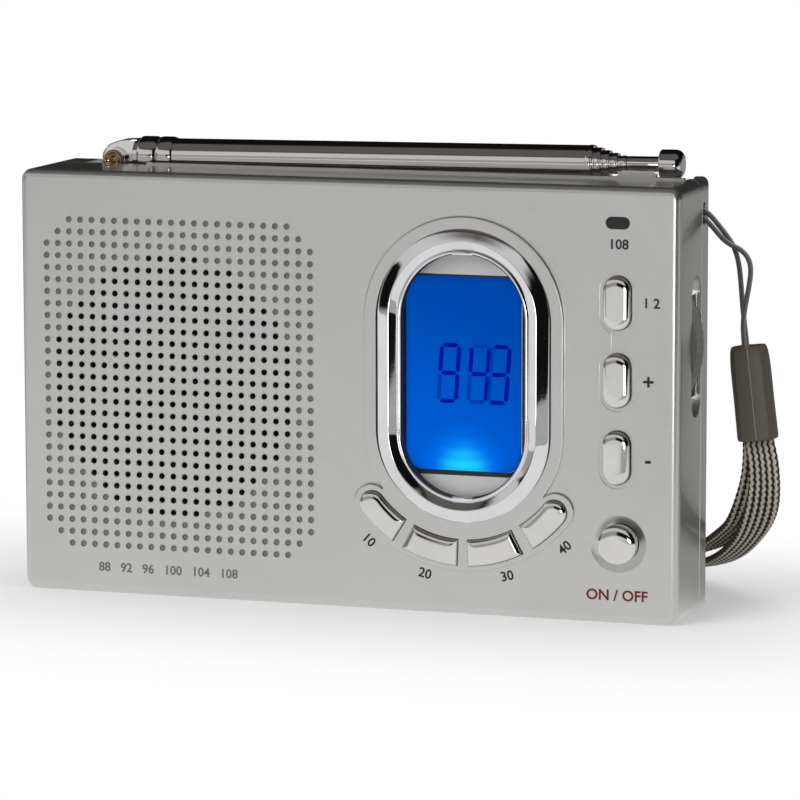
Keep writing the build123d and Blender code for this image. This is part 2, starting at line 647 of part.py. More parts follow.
def make_tuning_lamp():
    """Smoked window of the tuning lamp and the lamp behind it."""
    with BuildPart() as lens:
        with BuildSketch(face_plane(FRONT_Y + 0.25)):
            with Locations(LENS_AT):
                SlotOverall(*LENS_SIZE)
        extrude(amount=-(WALL - 0.25))
        with BuildSketch(face_plane(INNER_FRONT_Y)):
            with Locations(LENS_AT):
                SlotOverall(LENS_SIZE[0] + 1.6, LENS_SIZE[1] + 1.6)
        extrude(amount=-0.6)
    keep(lens.part, "tuning_lens")
    with BuildPart() as lamp:
        with BuildSketch(face_plane(BOARD_Y)):
            with Locations(LENS_AT):
                Circle(1.5)
        extrude(amount=BOARD_Y - INNER_FRONT_Y - 1.2)
        fillet(lamp.faces().sort_by(Axis.Y)[0].edges(), 1.2)
    keep(lamp.part, "tuning_lamp")


# ---------------------------------------------------------------- boards
def make_boards():
    """Main board with its switches and parts, and the small board of the two sockets."""
    with BuildPart() as board:
        with BuildSketch(face_plane(BOARD_Y)):
            with Locations((sum(BOARD_X) / 2, sum(BOARD_Z) / 2)):
                Rectangle(BOARD_X[1] - BOARD_X[0], BOARD_Z[1] - BOARD_Z[0])
            with Locations(*BOARD_SCREWS):
                Circle(BOARD_SCREW_R + 0.2, mode=Mode.SUBTRACT)
            with Locations(list(CASE_SCREWS)[3]):
                Circle(SCREW_R + 0.2, mode=Mode.SUBTRACT)
        extrude(amount=-BOARD_T)
    keep(board.part, "main_board")
    with BuildPart() as switches:
        with BuildSketch(face_plane(BOARD_Y)):
            with Locations(*switch_points()):
                Rectangle(SWITCH_SIZE, SWITCH_SIZE)
        extrude(amount=SWITCH_BODY)
        with BuildSketch(face_plane(BOARD_Y - SWITCH_BODY)):
            with Locations(*switch_points()):
                Circle(1.1)
        extrude(amount=SWITCH_PLUNGER)
    keep(switches.part, "key_switches")
    with BuildPart() as chips:
        with BuildSketch(face_plane(BOARD_BACK_Y)):
            with Locations((14.0, 62.0)):
                Rectangle(12.0, 12.0)
            with Locations((12.0, 43.0)):
                Rectangle(9.0, 5.5)
            with Locations((26.0, 44.0)):
                Rectangle(7.0, 4.5)
        extrude(amount=-1.6)
        with BuildSketch(face_plane(BOARD_BACK_Y)):
            with Locations((1.5, 68.0), (1.5, 58.0)):
                Rectangle(7.0, 7.0)
            with Locations((24.0, 74.0), (1.0, 44.0), (1.0, 38.5)):
                Circle(2.5)
        extrude(amount=-6.5)
    keep(chips.part, "board_parts")
    with BuildPart() as socket_board:
        with BuildSketch(face_plane(JACK_Y + 3.15)):
            with Locations((-57.7, 15.2)):
                Rectangle(13.4, 23.4)
        extrude(amount=-BOARD_T)
    keep(socket_board.part, "socket_board")


def make_sockets():
    """Earphone socket and power socket in the left side."""
    left = -WIDTH / 2
    with BuildPart() as phone:
        with BuildSketch(side_plane(left)):
            with Locations((JACK_Y, PHONE_Z)):
                Circle(3.1)
        extrude(amount=2.0)
        with BuildSketch(side_plane(left + WALL + 0.1)):
            with Locations((JACK_Y, PHONE_Z)):
                Rectangle(6.3, 6.6)
        extrude(amount=12.4)
        with BuildSketch(side_plane(left)):
            with Locations((JACK_Y, PHONE_Z)):
                Circle(PHONE_BORE_R)
        extrude(amount=PHONE_DEPTH, mode=Mode.SUBTRACT)
    keep(phone.part, "phone_socket")
    with BuildPart() as power:
        with BuildSketch(side_plane(left)):
            with Locations((JACK_Y, DC_Z)):
                Circle(4.2)
        extrude(amount=2.0)
        with BuildSketch(side_plane(left + WALL + 0.1)):
            with Locations((JACK_Y - 0.95, DC_Z)):
                Rectangle(8.2, 9.0)
        extrude(amount=11.0)
        with BuildSketch(side_plane(left)):
            with Locations((JACK_Y, DC_Z)):
                Circle(2.8)
                Circle(0.65, mode=Mode.SUBTRACT)
        extrude(amount=9.5, mode=Mode.SUBTRACT)
        with BuildSketch(side_plane(left)):
            with Locations((JACK_Y, DC_Z)):
                Circle(0.7)
        extrude(amount=0.8, mode=Mode.SUBTRACT)
    keep(power.part, "power_socket")


def make_fasteners():
    """The four long case screws, the three board screws and the four loudspeaker screws."""
    with BuildPart() as case_screws:
        with BuildSketch(face_plane(SCREW_SEAT_Y)):
            with Locations(*CASE_SCREWS):
                Circle(SCREW_R)
        extrude(amount=SCREW_SEAT_Y - SCREW_END_Y)
        with BuildSketch(face_plane(SCREW_SEAT_Y)):
            with Locations(*CASE_SCREWS):
                Circle(2.2)
        extrude(amount=-1.6)
        with BuildSketch(face_plane(SCREW_SEAT_Y + 1.6)):
            with Locations(*CASE_SCREWS):
                Rectangle(2.6, 0.6)
                Rectangle(0.6, 2.6)
        extrude(amount=0.9, mode=Mode.SUBTRACT)
    keep(case_screws.part, "case_screws")
    with BuildPart() as board_screws:
        with BuildSketch(face_plane(BOARD_BACK_Y)):
            with Locations(*BOARD_SCREWS):
                Circle(BOARD_SCREW_R)
        extrude(amount=BOARD_BACK_Y + 9.0)
        with BuildSketch(face_plane(BOARD_BACK_Y)):
            with Locations(*BOARD_SCREWS):
                Circle(1.9)
        extrude(amount=-0.4 - 0.9)
    keep(board_screws.part, "board_screws")
    with BuildPart() as speaker_screws:
        with BuildSketch(face_plane(RIM_Y[1])):
            with Locations(*around_speaker()):
                Circle(BOARD_SCREW_R)
        extrude(amount=RIM_Y[1] - INNER_FRONT_Y - 0.1)
        with BuildSketch(face_plane(RIM_Y[1])):
            with Locations(*around_speaker()):
                Circle(4.6)
        extrude(amount=-0.7)
        with BuildSketch(face_plane(RIM_Y[1] + 0.7)):
            with Locations(*around_speaker()):
                Circle(1.9)
        extrude(amount=-1.2)
    keep(speaker_screws.part, "speaker_screws")


# ---------------------------------------------------------------- loudspeaker
def speaker_profile(points):
    """Closed outline for turning, from radius and depth pairs."""
    with BuildLine() as edge:
        Polyline(*points, close=True)
    make_face(edge.edges())


def speaker_sketch_plane():
    """A plane through the loudspeaker's axis: local X is the radius, local Y the depth."""
    return Plane(origin=(SPEAKER_X, 0, SPEAKER_Z), x_dir=(1, 0, 0), z_dir=(0, 0, 1))


def make_speaker():
    """Loudspeaker: basket, cone with its surround, dust cap, magnet and gasket."""
    spin = Axis((SPEAKER_X, 0, SPEAKER_Z), (0, 1, 0))
    with BuildPart() as basket:
        with BuildSketch(speaker_sketch_plane()):
            speaker_profile([(26.4, -9.6), (28.5, -9.6), (28.5, -8.8), (27.0, -8.8), (15.6, 0.9),
                             (15.6, 1.8), (7.0, 1.8), (7.0, 1.0), (14.8, 1.0), (14.8, 0.5), (26.4, -9.1)])
        revolve(axis=spin)
        with BuildSketch(face_plane(-7.0)):
            with Locations((SPEAKER_X, SPEAKER_Z)):
                with PolarLocations(19.6, 6):
                    SlotOverall(9.0, 4.6, rotation=90)
        extrude(amount=-7.4, mode=Mode.SUBTRACT)
    keep(basket.part, "speaker_basket")
    with BuildPart() as cone:
        with BuildSketch(speaker_sketch_plane()):
            speaker_profile([(27.8, -9.65), (27.8, -10.05), (26.2, -10.05), (25.4, -10.3), (24.2, -10.3),
                             (23.4, -10.0), (7.1, -3.4), (7.1, -0.4), (7.5, -0.4), (7.5, -3.15),
                             (23.2, -9.55), (24.3, -9.95), (25.3, -9.95), (26.1, -9.65)])
            speaker_profile([(0, -6.2), (3.5, -5.7), (6.2, -4.5), (7.8, -3.65), (7.4, -3.3), (6.0, -4.1),
                             (3.4, -5.3), (0, -5.8)])
        revolve(axis=spin)
    keep(cone.part, "speaker_cone")
    with BuildPart() as magnet:
        with BuildSketch(face_plane(1.85)):
            with Locations((SPEAKER_X, SPEAKER_Z)):
                Circle(16.0)
        extrude(amount=-7.5)
        chamfer(magnet.edges(), 0.6)
        with BuildSketch(face_plane(2.0)):
            with Locations((SPEAKER_X, SPEAKER_Z)):
                Circle(6.5)
        extrude(amount=3.0)
    keep(magnet.part, "speaker_magnet")


def make_ferrite():
    """Ferrite rod aerial with its coil and the two clips that hold it under the top of the case."""
    rod_y, rod_z = FERRITE_AT
    with BuildPart() as rod:
        with BuildSketch(side_plane(FERRITE_X[0])):
            with Locations(FERRITE_AT):
                Circle(FERRITE_R)
        extrude(amount=FERRITE_X[1] - FERRITE_X[0])
        chamfer(rod.edges(), 0.4)
    keep(rod.part, "ferrite_rod")
    with BuildPart() as coil:
        with BuildSketch(side_plane(-26.0)):
            with Locations(FERRITE_AT):
                Circle(FERRITE_R + 0.6)
                Circle(FERRITE_R + 0.02, mode=Mode.SUBTRACT)
        extrude(amount=15.0)
    keep(coil.part, "ferrite_coil")
    with BuildPart() as clips:
        for x in (-50.0, -34.0):
            with BuildSketch(side_plane(x)):
                with Locations(((INNER_FRONT_Y + rod_y + 1.5) / 2, rod_z)):
                    Rectangle(rod_y + 1.5 - INNER_FRONT_Y, 9.6)
                with Locations(FERRITE_AT):
                    Circle(FERRITE_R + 0.02, mode=Mode.SUBTRACT)
            extrude(amount=3.0)
    keep(clips.part, "ferrite_clips")


# ---------------------------------------------------------------- volume wheel
def make_volume():
    """Fluted thumb wheel in the right side, and the control behind the board that it turns on."""
    front = WHEEL_Y - WHEEL_T / 2
    with BuildPart() as wheel:
        with BuildSketch(face_plane(front)):
            with Locations((WHEEL_X, WHEEL_Z)):
                Circle(WHEEL_R)
                with PolarLocations(WHEEL_R + 0.15, FLUTES):
                    Circle(0.45, mode=Mode.SUBTRACT)
        extrude(amount=-WHEEL_T)
        for depth_y, side in ((front, -1), (front + WHEEL_T, 1)):
            with BuildSketch(face_plane(depth_y)):
                with Locations((WHEEL_X, WHEEL_Z)):
                    Circle(WHEEL_R - 3.0)
                    Circle(3.4, mode=Mode.SUBTRACT)
            extrude(amount=1.6 * side, mode=Mode.SUBTRACT)
        with BuildSketch(face_plane(front)):
            with Locations((WHEEL_X, WHEEL_Z)):
                Circle(1.55)
        extrude(amount=-WHEEL_T, mode=Mode.SUBTRACT)
    keep(wheel.part, "volume_wheel")
    with BuildPart() as control:
        with BuildSketch(face_plane(BOARD_BACK_Y)):
            with Locations((WHEEL_X, WHEEL_Z)):
                Circle(7.0)
        extrude(amount=-1.1)
        with BuildSketch(face_plane(BOARD_BACK_Y)):
            with Locations((WHEEL_X, WHEEL_Z)):
                Circle(1.5)
        extrude(amount=-(front + WHEEL_T + 0.2 - BOARD_BACK_Y))
        with BuildSketch(face_plane(front + WHEEL_T + 0.15)):
            with Locations((WHEEL_X, WHEEL_Z)):
                Circle(2.6)
        extrude(amount=-0.8)
    keep(control.part, "volume_control")


# ---------------------------------------------------------------- batteries
def make_cells():
    """Two size AA cells, lying head to tail."""
    for label, side in (("battery_cell_lower", 1), ("battery_cell_upper", -1)):
        flat = 7.95 if side > 0 else 54.05
        with BuildPart() as cell:
            with BuildSketch(side_plane(min(flat, flat + side * 49.3))):
                with Locations((CELL_Y, CELL_Z[label])):
                    Circle(CELL_R)
            extrude(amount=49.3)
            chamfer(cell.edges(), 0.4)
            with BuildSketch(side_plane(flat + side * 49.2)):
                with Locations((CELL_Y, CELL_Z[label])):
                    Circle(2.75)
            extrude(amount=side * 1.25)
        keep(cell.part, label)


def make_contacts():
    """Contact plates at both ends of the bay and the two springs on them."""
    lower, upper = CELL_Z["battery_cell_lower"], CELL_Z["battery_cell_upper"]
    with BuildPart() as plates:
        with BuildSketch(side_plane(BAY_X[0] + 0.05)):
            with Locations((CELL_Y, lower), (CELL_Y, upper)):
                RectangleRounded(11.0, 12.0, 1.0)
        extrude(amount=0.45)
        with BuildSketch(side_plane(BAY_X[1] - 0.5)):
            with Locations((CELL_Y, (lower + upper) / 2)):
                RectangleRounded(11.0, upper - lower + 12.0, 1.0)
        extrude(amount=0.45)
    keep(plates.part, "battery_contacts")
    with BuildPart() as springs:
        for x, z, side in ((BAY_X[0] + 0.85, lower, 1), (BAY_X[1] - 0.85, upper, -1)):
            with BuildLine() as coil:
                Helix(pitch=1.15, height=3.6, radius=4.6, center=(x, CELL_Y, z), direction=(side, 0, 0))
            with BuildSketch(Plane(origin=coil.line @ 0, z_dir=coil.line % 0)):
                Circle(0.3)
            sweep(path=coil.line, is_frenet=True)
    keep(springs.part, "battery_springs")


# ---------------------------------------------------------------- aerial
def aerial_solid(radius, start, end, bore=0.0):
    """A turned piece of the folded aerial between two stations, with an optional bore."""
    with BuildPart() as piece:
        with BuildSketch(aerial_plane(start)):
            Circle(radius)
            if bore:
                Circle(bore, mode=Mode.SUBTRACT)
        extrude(amount=end - start)
    return piece.part


def make_aerial_base():
    """Turning yoke, the rivet through it, the clip under it, and the knuckle that folds up."""
    x, y, z = PIVOT
    ear_y = [y - KNUCKLE_T / 2 - EAR_GAP - EAR_T, y + KNUCKLE_T / 2 + EAR_GAP]
    with BuildPart() as yoke:
        with BuildSketch(Plane.XY.offset(YOKE_Z[0])):
            with Locations((x, y)):
                Circle(YOKE_R)
        extrude(amount=YOKE_Z[1] - YOKE_Z[0])
        for start in ear_y:
            with BuildSketch(face_plane(start)):
                with Locations((x, (YOKE_Z[1] + z) / 2 - 0.05)):
                    Rectangle(2 * EAR_R, z - YOKE_Z[1] + 0.1)
                with Locations((x, z)):
                    Circle(EAR_R)
            extrude(amount=-EAR_T)
        with BuildSketch(face_plane(y - 6)):
            with Locations((x, z)):
                Circle(PIN_R + 0.01)
        extrude(amount=-12, mode=Mode.SUBTRACT)
        with BuildSketch(Plane.XY.offset(YOKE_Z[0])):
            with Locations((x, y)):
                Circle(2.0)
        extrude(amount=-2.9)
        with BuildSketch(Plane.XY.offset(YOKE_Z[0] - 2.45)):
            with Locations((x, y)):
                Circle(2.0)
                Circle(1.5, mode=Mode.SUBTRACT)
        extrude(amount=0.5, mode=Mode.SUBTRACT)
    keep(yoke.part, "aerial_yoke")
    with BuildPart() as clip:
        with BuildSketch(Plane.XY.offset(YOKE_Z[0] - 2.4)):
            with Locations((x, y)):
                Circle(3.1)
                Circle(1.52, mode=Mode.SUBTRACT)
            with Locations((x + 2.5, y)):
                Rectangle(2.4, 1.6, mode=Mode.SUBTRACT)
        extrude(amount=0.4)
    keep(clip.part, "aerial_clip")
    front, back = ear_y[0], ear_y[1] + EAR_T
    with BuildPart() as rivet:
        with BuildSketch(face_plane(front)):
            with Locations((x, z)):
                Circle(PIN_R)
        extrude(amount=-(back - front))
        for start, side in ((front, 1), (back, -1)):
            with BuildSketch(face_plane(start)):
                with Locations((x, z)):
                    Circle(2.05)
            extrude(amount=0.45 * side)
        with BuildSketch(face_plane(front - 0.45)):
            with Locations((x, z)):
                Circle(1.2)
        extrude(amount=-1.0, taper=35, mode=Mode.SUBTRACT)
    keep(rivet.part, "aerial_rivet")
    with BuildPart() as knuckle:
        with BuildSketch(face_plane(y - KNUCKLE_T / 2)):
            with Locations((x, z)):
                Circle(3.1)
            with BuildLine(Plane(origin=(x, z))):
                Polyline((0, -3.1), (3.6, -3.0), (3.6, 4.3), (2.2, 4.1), (-1.5, 2.7), close=True)
            make_face()
        extrude(amount=-KNUCKLE_T)
        add(aerial_solid(COLLAR_R, *COLLAR))
        for station in (6.7, 10.2):
            add(aerial_solid(COLLAR_R + 1, station, station + 0.35, COLLAR_R - 0.25), mode=Mode.SUBTRACT)
        add(aerial_solid(TUBE_RADII[0] + 0.01, TUBE_START, COLLAR[1] + 1), mode=Mode.SUBTRACT)
        with BuildSketch(face_plane(y - 6)):
            with Locations((x, z)):
                Circle(PIN_R + 0.05)
        extrude(amount=-12, mode=Mode.SUBTRACT)
    keep(knuckle.part, "aerial_knuckle")


def make_aerial_tubes():
    """The five telescoping tubes, the solid end rod and its knob, all pushed in."""
    for number, radius in enumerate(TUBE_RADII):
        start = TUBE_START + START_STEP * number + (0.02 if number == 0 else 0)
        inner = TUBE_RADII[number + 1] if number + 1 < len(TUBE_RADII) else ROD_R
        tube = aerial_solid(radius, start, TUBE_ENDS[number], inner + BORE_GAP)
        keep(tube, f"aerial_tube_{number + 1}")
    last = TUBE_START + START_STEP * len(TUBE_RADII)
    with BuildPart() as rod:
        add(aerial_solid(ROD_R, last, KNOB[0] + 3.0))
    keep(rod.part, "aerial_rod")
    with BuildPart() as knob:
        add(aerial_solid(KNOB_R, KNOB[0], KNOB[1], 0.0))
        ends = knob.faces().filter_by(GeomType.PLANE).sort_by(Axis.X)
        fillet(ends[-1].edges(), 1.6)
        ends = knob.faces().filter_by(GeomType.PLANE).sort_by(Axis.X)
        fillet(ends[0].edges(), 0.4)
        add(aerial_solid(ROD_R + 0.01, KNOB[0] - 1.0, KNOB[0] + 3.02), mode=Mode.SUBTRACT)
    keep(knob.part, "aerial_knob")


# ---------------------------------------------------------------- strap
def bend_radii(points, share=0.45, most=30.0):
    """Largest bend at each inner point that leaves some straight between neighbouring bends."""
    places = [Vector(*point) for point in points]
    radii = []
    for before, here, after in zip(places, places[1:], places[2:]):
        turn = radians((here - before).get_angle(after - here))
        shorter = min((here - before).length, (after - here).length)
        radii.append(min(share * shorter / tan(turn / 2), most))
    return radii


def cord_tube(points, radius):
    """A round cord along a smooth path."""
    radii = bend_radii(points)
    with BuildPart() as cord:
        with BuildLine() as path:
            FilletPolyline(*points, radius=radii)
        with BuildSketch(Plane(origin=path.line @ 0, z_dir=path.line % 0)):
            Circle(radius)
        sweep(path=path.line)
    return cord.part


def make_strap():
    """Pin in the case, looped cord, bead and wrist band."""
    with BuildPart() as pin:
        with BuildSketch(face_plane(SEAM_Y + 0.1)):
            with Locations((STRAP_PIN[0], STRAP_PIN[2])):
                Circle(0.49)
        extrude(amount=-4.7)
    keep(pin.part, "strap_pin")
    x, y, z = STRAP_PIN
    loop = [(x - 1.05, y, z + 1.02), (x - 1.05, y, z - 1.02)]
    keep(cord_tube(STRAND_UPPER[::-1] + loop + STRAND_LOWER, STRAP_R), "strap_cord")
    top, bottom = Vector(*BEAD_TOP), Vector(*BEAD_BOTTOM)
    with BuildPart() as bead:
        for share, size in zip((0, 0.5, 1), BEAD_SIZES):
            with BuildSketch(Plane(origin=top + (bottom - top) * share, x_dir=(1, 0, 0), z_dir=bottom - top)):
                RectangleRounded(size[0], size[1], 1.2)
        loft()
        shrunk = []
        for share, size in zip((-0.02, 0.5, 1.02), BEAD_SIZES):
            spot = top + (bottom - top) * share
            with BuildSketch(Plane(origin=spot, x_dir=(1, 0, 0), z_dir=bottom - top)) as hollow:
                RectangleRounded(size[0] - 2 * BEAD_WALL, size[1] - 2 * BEAD_WALL, 0.6)
            shrunk.append(hollow.sketch)
        loft(sections=shrunk, mode=Mode.SUBTRACT)
    keep(bead.part, "strap_bead")
    keep(cord_tube(BAND_ROUTE, BAND_R), "wrist_band")


def make_all():
    """Build every piece."""
    make_front_shell()
    make_rear_shell()
    make_battery_door()
    make_display()
    make_keys()
    make_tuning_lamp()
    make_boards()
    make_sockets()
    make_fasteners()
    make_speaker()
    make_ferrite()
    make_volume()
    make_cells()
    make_contacts()
    make_aerial_base()
    make_aerial_tubes()
    make_strap()


os.makedirs("parts", exist_ok=True)
make_all()
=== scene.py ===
"""Looks of a portable radio: silver case, drilled grille, lit display, chrome keys, aerial and strap."""

import json
import logging
import math
from dataclasses import dataclass, field
from enum import Enum, IntEnum
from typing import Any, Callable, Iterable, Sequence

import bmesh
import bpy
from mathutils import Euler, Matrix, Vector

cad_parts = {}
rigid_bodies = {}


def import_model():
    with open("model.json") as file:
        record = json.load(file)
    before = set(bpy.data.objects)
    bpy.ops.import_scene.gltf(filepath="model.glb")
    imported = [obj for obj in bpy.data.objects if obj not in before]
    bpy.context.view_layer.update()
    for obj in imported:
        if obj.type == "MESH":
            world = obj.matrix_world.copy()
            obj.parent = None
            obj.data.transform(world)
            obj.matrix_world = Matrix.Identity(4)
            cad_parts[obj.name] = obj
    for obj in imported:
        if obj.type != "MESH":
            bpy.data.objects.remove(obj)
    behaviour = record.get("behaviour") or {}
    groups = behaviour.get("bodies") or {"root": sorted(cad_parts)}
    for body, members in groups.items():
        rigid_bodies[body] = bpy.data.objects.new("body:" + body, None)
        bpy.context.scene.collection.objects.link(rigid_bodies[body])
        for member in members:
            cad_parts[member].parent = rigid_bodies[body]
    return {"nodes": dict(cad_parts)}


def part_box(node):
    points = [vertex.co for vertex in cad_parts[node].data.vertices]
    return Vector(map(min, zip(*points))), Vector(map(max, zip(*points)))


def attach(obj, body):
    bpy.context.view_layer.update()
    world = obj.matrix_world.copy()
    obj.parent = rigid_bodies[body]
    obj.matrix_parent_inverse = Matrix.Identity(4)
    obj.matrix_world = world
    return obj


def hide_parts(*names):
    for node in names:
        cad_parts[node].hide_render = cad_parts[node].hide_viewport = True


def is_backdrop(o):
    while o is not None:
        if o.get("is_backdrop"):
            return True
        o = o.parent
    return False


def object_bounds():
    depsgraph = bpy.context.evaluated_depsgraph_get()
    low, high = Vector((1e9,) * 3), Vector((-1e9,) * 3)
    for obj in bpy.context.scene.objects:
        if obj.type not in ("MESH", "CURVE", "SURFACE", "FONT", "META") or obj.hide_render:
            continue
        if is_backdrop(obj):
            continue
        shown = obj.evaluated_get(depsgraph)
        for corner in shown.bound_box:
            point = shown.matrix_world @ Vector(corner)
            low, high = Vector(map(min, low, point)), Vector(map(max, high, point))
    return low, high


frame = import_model()
log = logging.getLogger("radio")
Point = tuple[float, float, float]
Point2 = tuple[float, float]
Colour = tuple[float, float, float]
Face = tuple[int, ...]
Outline = Callable[[float], list[Point2]]
MM = 0.001
ROUND = 2 * math.pi
QUARTER = math.radians(90)
WHITE: Colour = (1.0, 1.0, 1.0)
MERGE = 1e-7
SHARP = 38.0


def mm(*values: float) -> Vector:
    """A point or an offset given in millimetres, in metres."""
    return Vector(values) * MM


def shaded(tint: Colour, share: float) -> Colour:
    """A colour with each of its parts times share."""
    return tuple(part * share for part in tint)


# ------------------------------------------------------------------ shader tools
class Value:
    """A shader socket, or a number, that takes part in sums."""

    def __init__(self, tree: "Tree", socket: Any) -> None:
        """Args: tree: the tree it belongs to. socket: the output that carries it."""
        self.tree = tree
        self.socket = socket

    def _math(self, operation: str, *others: Any) -> "Value":
        """Returns: the result of one Math node on this value and the others."""
        inputs = dict(enumerate((self, *others)))
        return self.tree.node("ShaderNodeMath", {"operation": operation}, inputs)[0]

    def __add__(self, other: Any) -> "Value":
        """This plus other."""
        return self._math("ADD", other)

    __radd__ = __add__

    def __mul__(self, other: Any) -> "Value":
        """This times other."""
        return self._math("MULTIPLY", other)

    __rmul__ = __mul__

    def __sub__(self, other: Any) -> "Value":
        """This minus other."""
        return self._math("SUBTRACT", other)

    def __rsub__(self, other: Any) -> "Value":
        """Other minus this."""
        return (self * -1.0) + other

    def __truediv__(self, other: Any) -> "Value":
        """This over other."""
        return self._math("DIVIDE", other)

    def __pow__(self, other: Any) -> "Value":
        """This to the power of other."""
        return self._math("POWER", other)

    def sine(self) -> "Value":
        """Sine of this, in radians."""
        return self._math("SINE")

    def size(self) -> "Value":
        """This without its sign."""
        return self._math("ABSOLUTE")

    def part(self) -> "Value":
        """The fraction of this beyond its whole number."""
        return self._math("FRACT")

    def most(self, other: Any) -> "Value":
        """The larger of this and other."""
        return self._math("MAXIMUM", other)

    def bearing(self, other: Any) -> "Value":
        """The angle whose tangent is this over other, in degrees."""
        return self._math("ARCTAN2", other) * (360.0 / ROUND)

    def span(self, low: float, high: float) -> "Value":
        """This mapped so that low is 0 and high is 1, held within them and eased."""
        inputs = {"Value": self, "From Min": low, "From Max": high}
        return self.tree.node("ShaderNodeMapRange", {"interpolation_type": "SMOOTHSTEP"}, inputs)[0]

    def between(self, low: float, high: float, soft: float) -> "Value":
        """1 where this is from low to high and 0 elsewhere, with soft edges."""
        return self.span(low - soft, low + soft) * (1.0 - self.span(high - soft, high + soft))


class Ray(IntEnum):
    """What a light path's outputs tell."""

    CAMERA = 0
    GLOSSY = 3
    TRANSMISSION = 6


class Tree:
    """A node tree that nodes are added to."""

    def __init__(self, tree: bpy.types.NodeTree) -> None:
        """Args: tree: the node tree, empty so far."""
        self.tree = tree

    def node(self, kind: str, settings: dict[str, Any] | None = None,
             inputs: dict[Any, Any] | None = None) -> list[Value]:
        """Add a node of any kind.

        Args:
            kind: the node's type.
            settings: its own settings, set before anything else; stops holds a ramp's positions and colours.
            inputs: a number, a colour, a Value or a list of Values for each named or numbered socket.

        Returns:
            Its outputs, in order.
        """
        made = self.tree.nodes.new(kind)
        for name, setting in (settings or {}).items():
            if name == "stops":
                ramp = made.color_ramp
                while len(ramp.elements) < len(setting):
                    ramp.elements.new(0.5)
                for element, (place, colour) in zip(ramp.elements, setting):
                    element.position = place
                    element.color = (*colour, 1.0)
            else:
                setattr(made, name, setting)
        for name, item in (inputs or {}).items():
            socket = made.inputs[name]
            if isinstance(item, (Value, list)):
                for value in item if isinstance(item, list) else [item]:
                    self.tree.links.new(value.socket, socket)
            elif isinstance(item, tuple) and len(item) == 3 and socket.type == "RGBA":
                socket.default_value = (*item, 1.0)
            else:
                socket.default_value = item
        return [Value(self, output) for output in made.outputs]


class Look(Tree):
    """One material's node tree."""

    def __init__(self, name: str) -> None:
        """Args: name: the material's name."""
        self.material = bpy.data.materials.new(name)
        self.material.use_nodes = True
        super().__init__(self.material.node_tree)
        self.tree.nodes.clear()

    def place(self) -> Value:
        """Position on the piece, in metres."""
        return self.node("ShaderNodeTexCoord")[3]

    def along(self, axis: str) -> Value:
        """One part of the position on the piece, in metres."""
        return self.node("ShaderNodeSeparateXYZ", None, {0: self.place()})["XYZ".index(axis)]

    def chart(self) -> list[Value]:
        """The piece's own UV map: how far along, and how far round."""
        uv = self.node("ShaderNodeUVMap", {"uv_map": "UVMap"})[0]
        return self.node("ShaderNodeSeparateXYZ", None, {0: uv})[:2]

    def noise(self, scale: float, detail: float = 3.0, stretch: Point = (1.0, 1.0, 1.0)) -> Value:
        """Noise from 0 to 1 at that many cells a metre, stretched along each axis."""
        moved = self.node("ShaderNodeMapping", None, {"Vector": self.place(), "Scale": stretch})[0]
        return self.node("ShaderNodeTexNoise", None, {"Vector": moved, "Scale": scale, "Detail": detail})[0]

    def blend(self, share: Any, first: Any, second: Any) -> Value:
        """Two colours mixed by share."""
        return self.node("ShaderNodeMix", {"data_type": "RGBA"}, {0: share, 6: first, 7: second})[2]

    def bump(self, height: Value, depth: float, strength: float = 1.0) -> Value:
        """A normal raised by height times depth, in metres."""
        inputs = {"Strength": strength, "Distance": depth, "Height": height}
        return self.node("ShaderNodeBump", None, inputs)[0]

    def surface(self, **sockets: Any) -> Value:
        """A Principled shader; socket names have _ for a space."""
        named = {name.replace("_", " "): item for name, item in sockets.items()}
        return self.node("ShaderNodeBsdfPrincipled", None, named)[0]

    def glow(self, strength: Any, colour: Any = WHITE) -> Value:
        """A shader that gives off light."""
        return self.node("ShaderNodeEmission", None, {"Color": colour, "Strength": strength})[0]

    def finish(self, shader: Value) -> bpy.types.Material:
        """Join the shader to the output and hand over the material."""
        self.node("ShaderNodeOutputMaterial", None, {"Surface": shader})
        return self.material


# ------------------------------------------------------------------ finishes
@dataclass(frozen=True)
class SilverPaint:
    """Metallic silver paint on moulded plastic."""

    name: str = "silver_paint"
    tint: Colour = (0.70, 0.695, 0.675)
    metal: float = 0.93
    rough: float = 0.29
    coat: float = 0.5
    coat_rough: float = 0.06
    shade: float = 0.93
    flakes: float = 9000.0
    clouds: float = 45.0
    depth: float = 0.000006
    relief: float = 0.12

    def material(self) -> bpy.types.Material:
        """Fine flakes that vary the gloss, under a faint uneven coat.

        Returns:
            The material.
        """
        look = Look(self.name)
        flake = look.noise(self.flakes, 2.0)
        cloud = look.noise(self.clouds, 3.0)
        dark = shaded(self.tint, self.shade)
        colour = look.blend((flake * 0.5 + cloud * 0.5).span(0.35, 0.7), dark, self.tint)
        rough = flake * 0.10 + cloud * 0.05 + (self.rough - 0.07)
        return look.finish(look.surface(Base_Color=colour, Metallic=self.metal, Roughness=rough,
                                        Coat_Weight=self.coat, Coat_Roughness=self.coat_rough,
                                        Normal=look.bump(flake, self.depth, self.relief)))


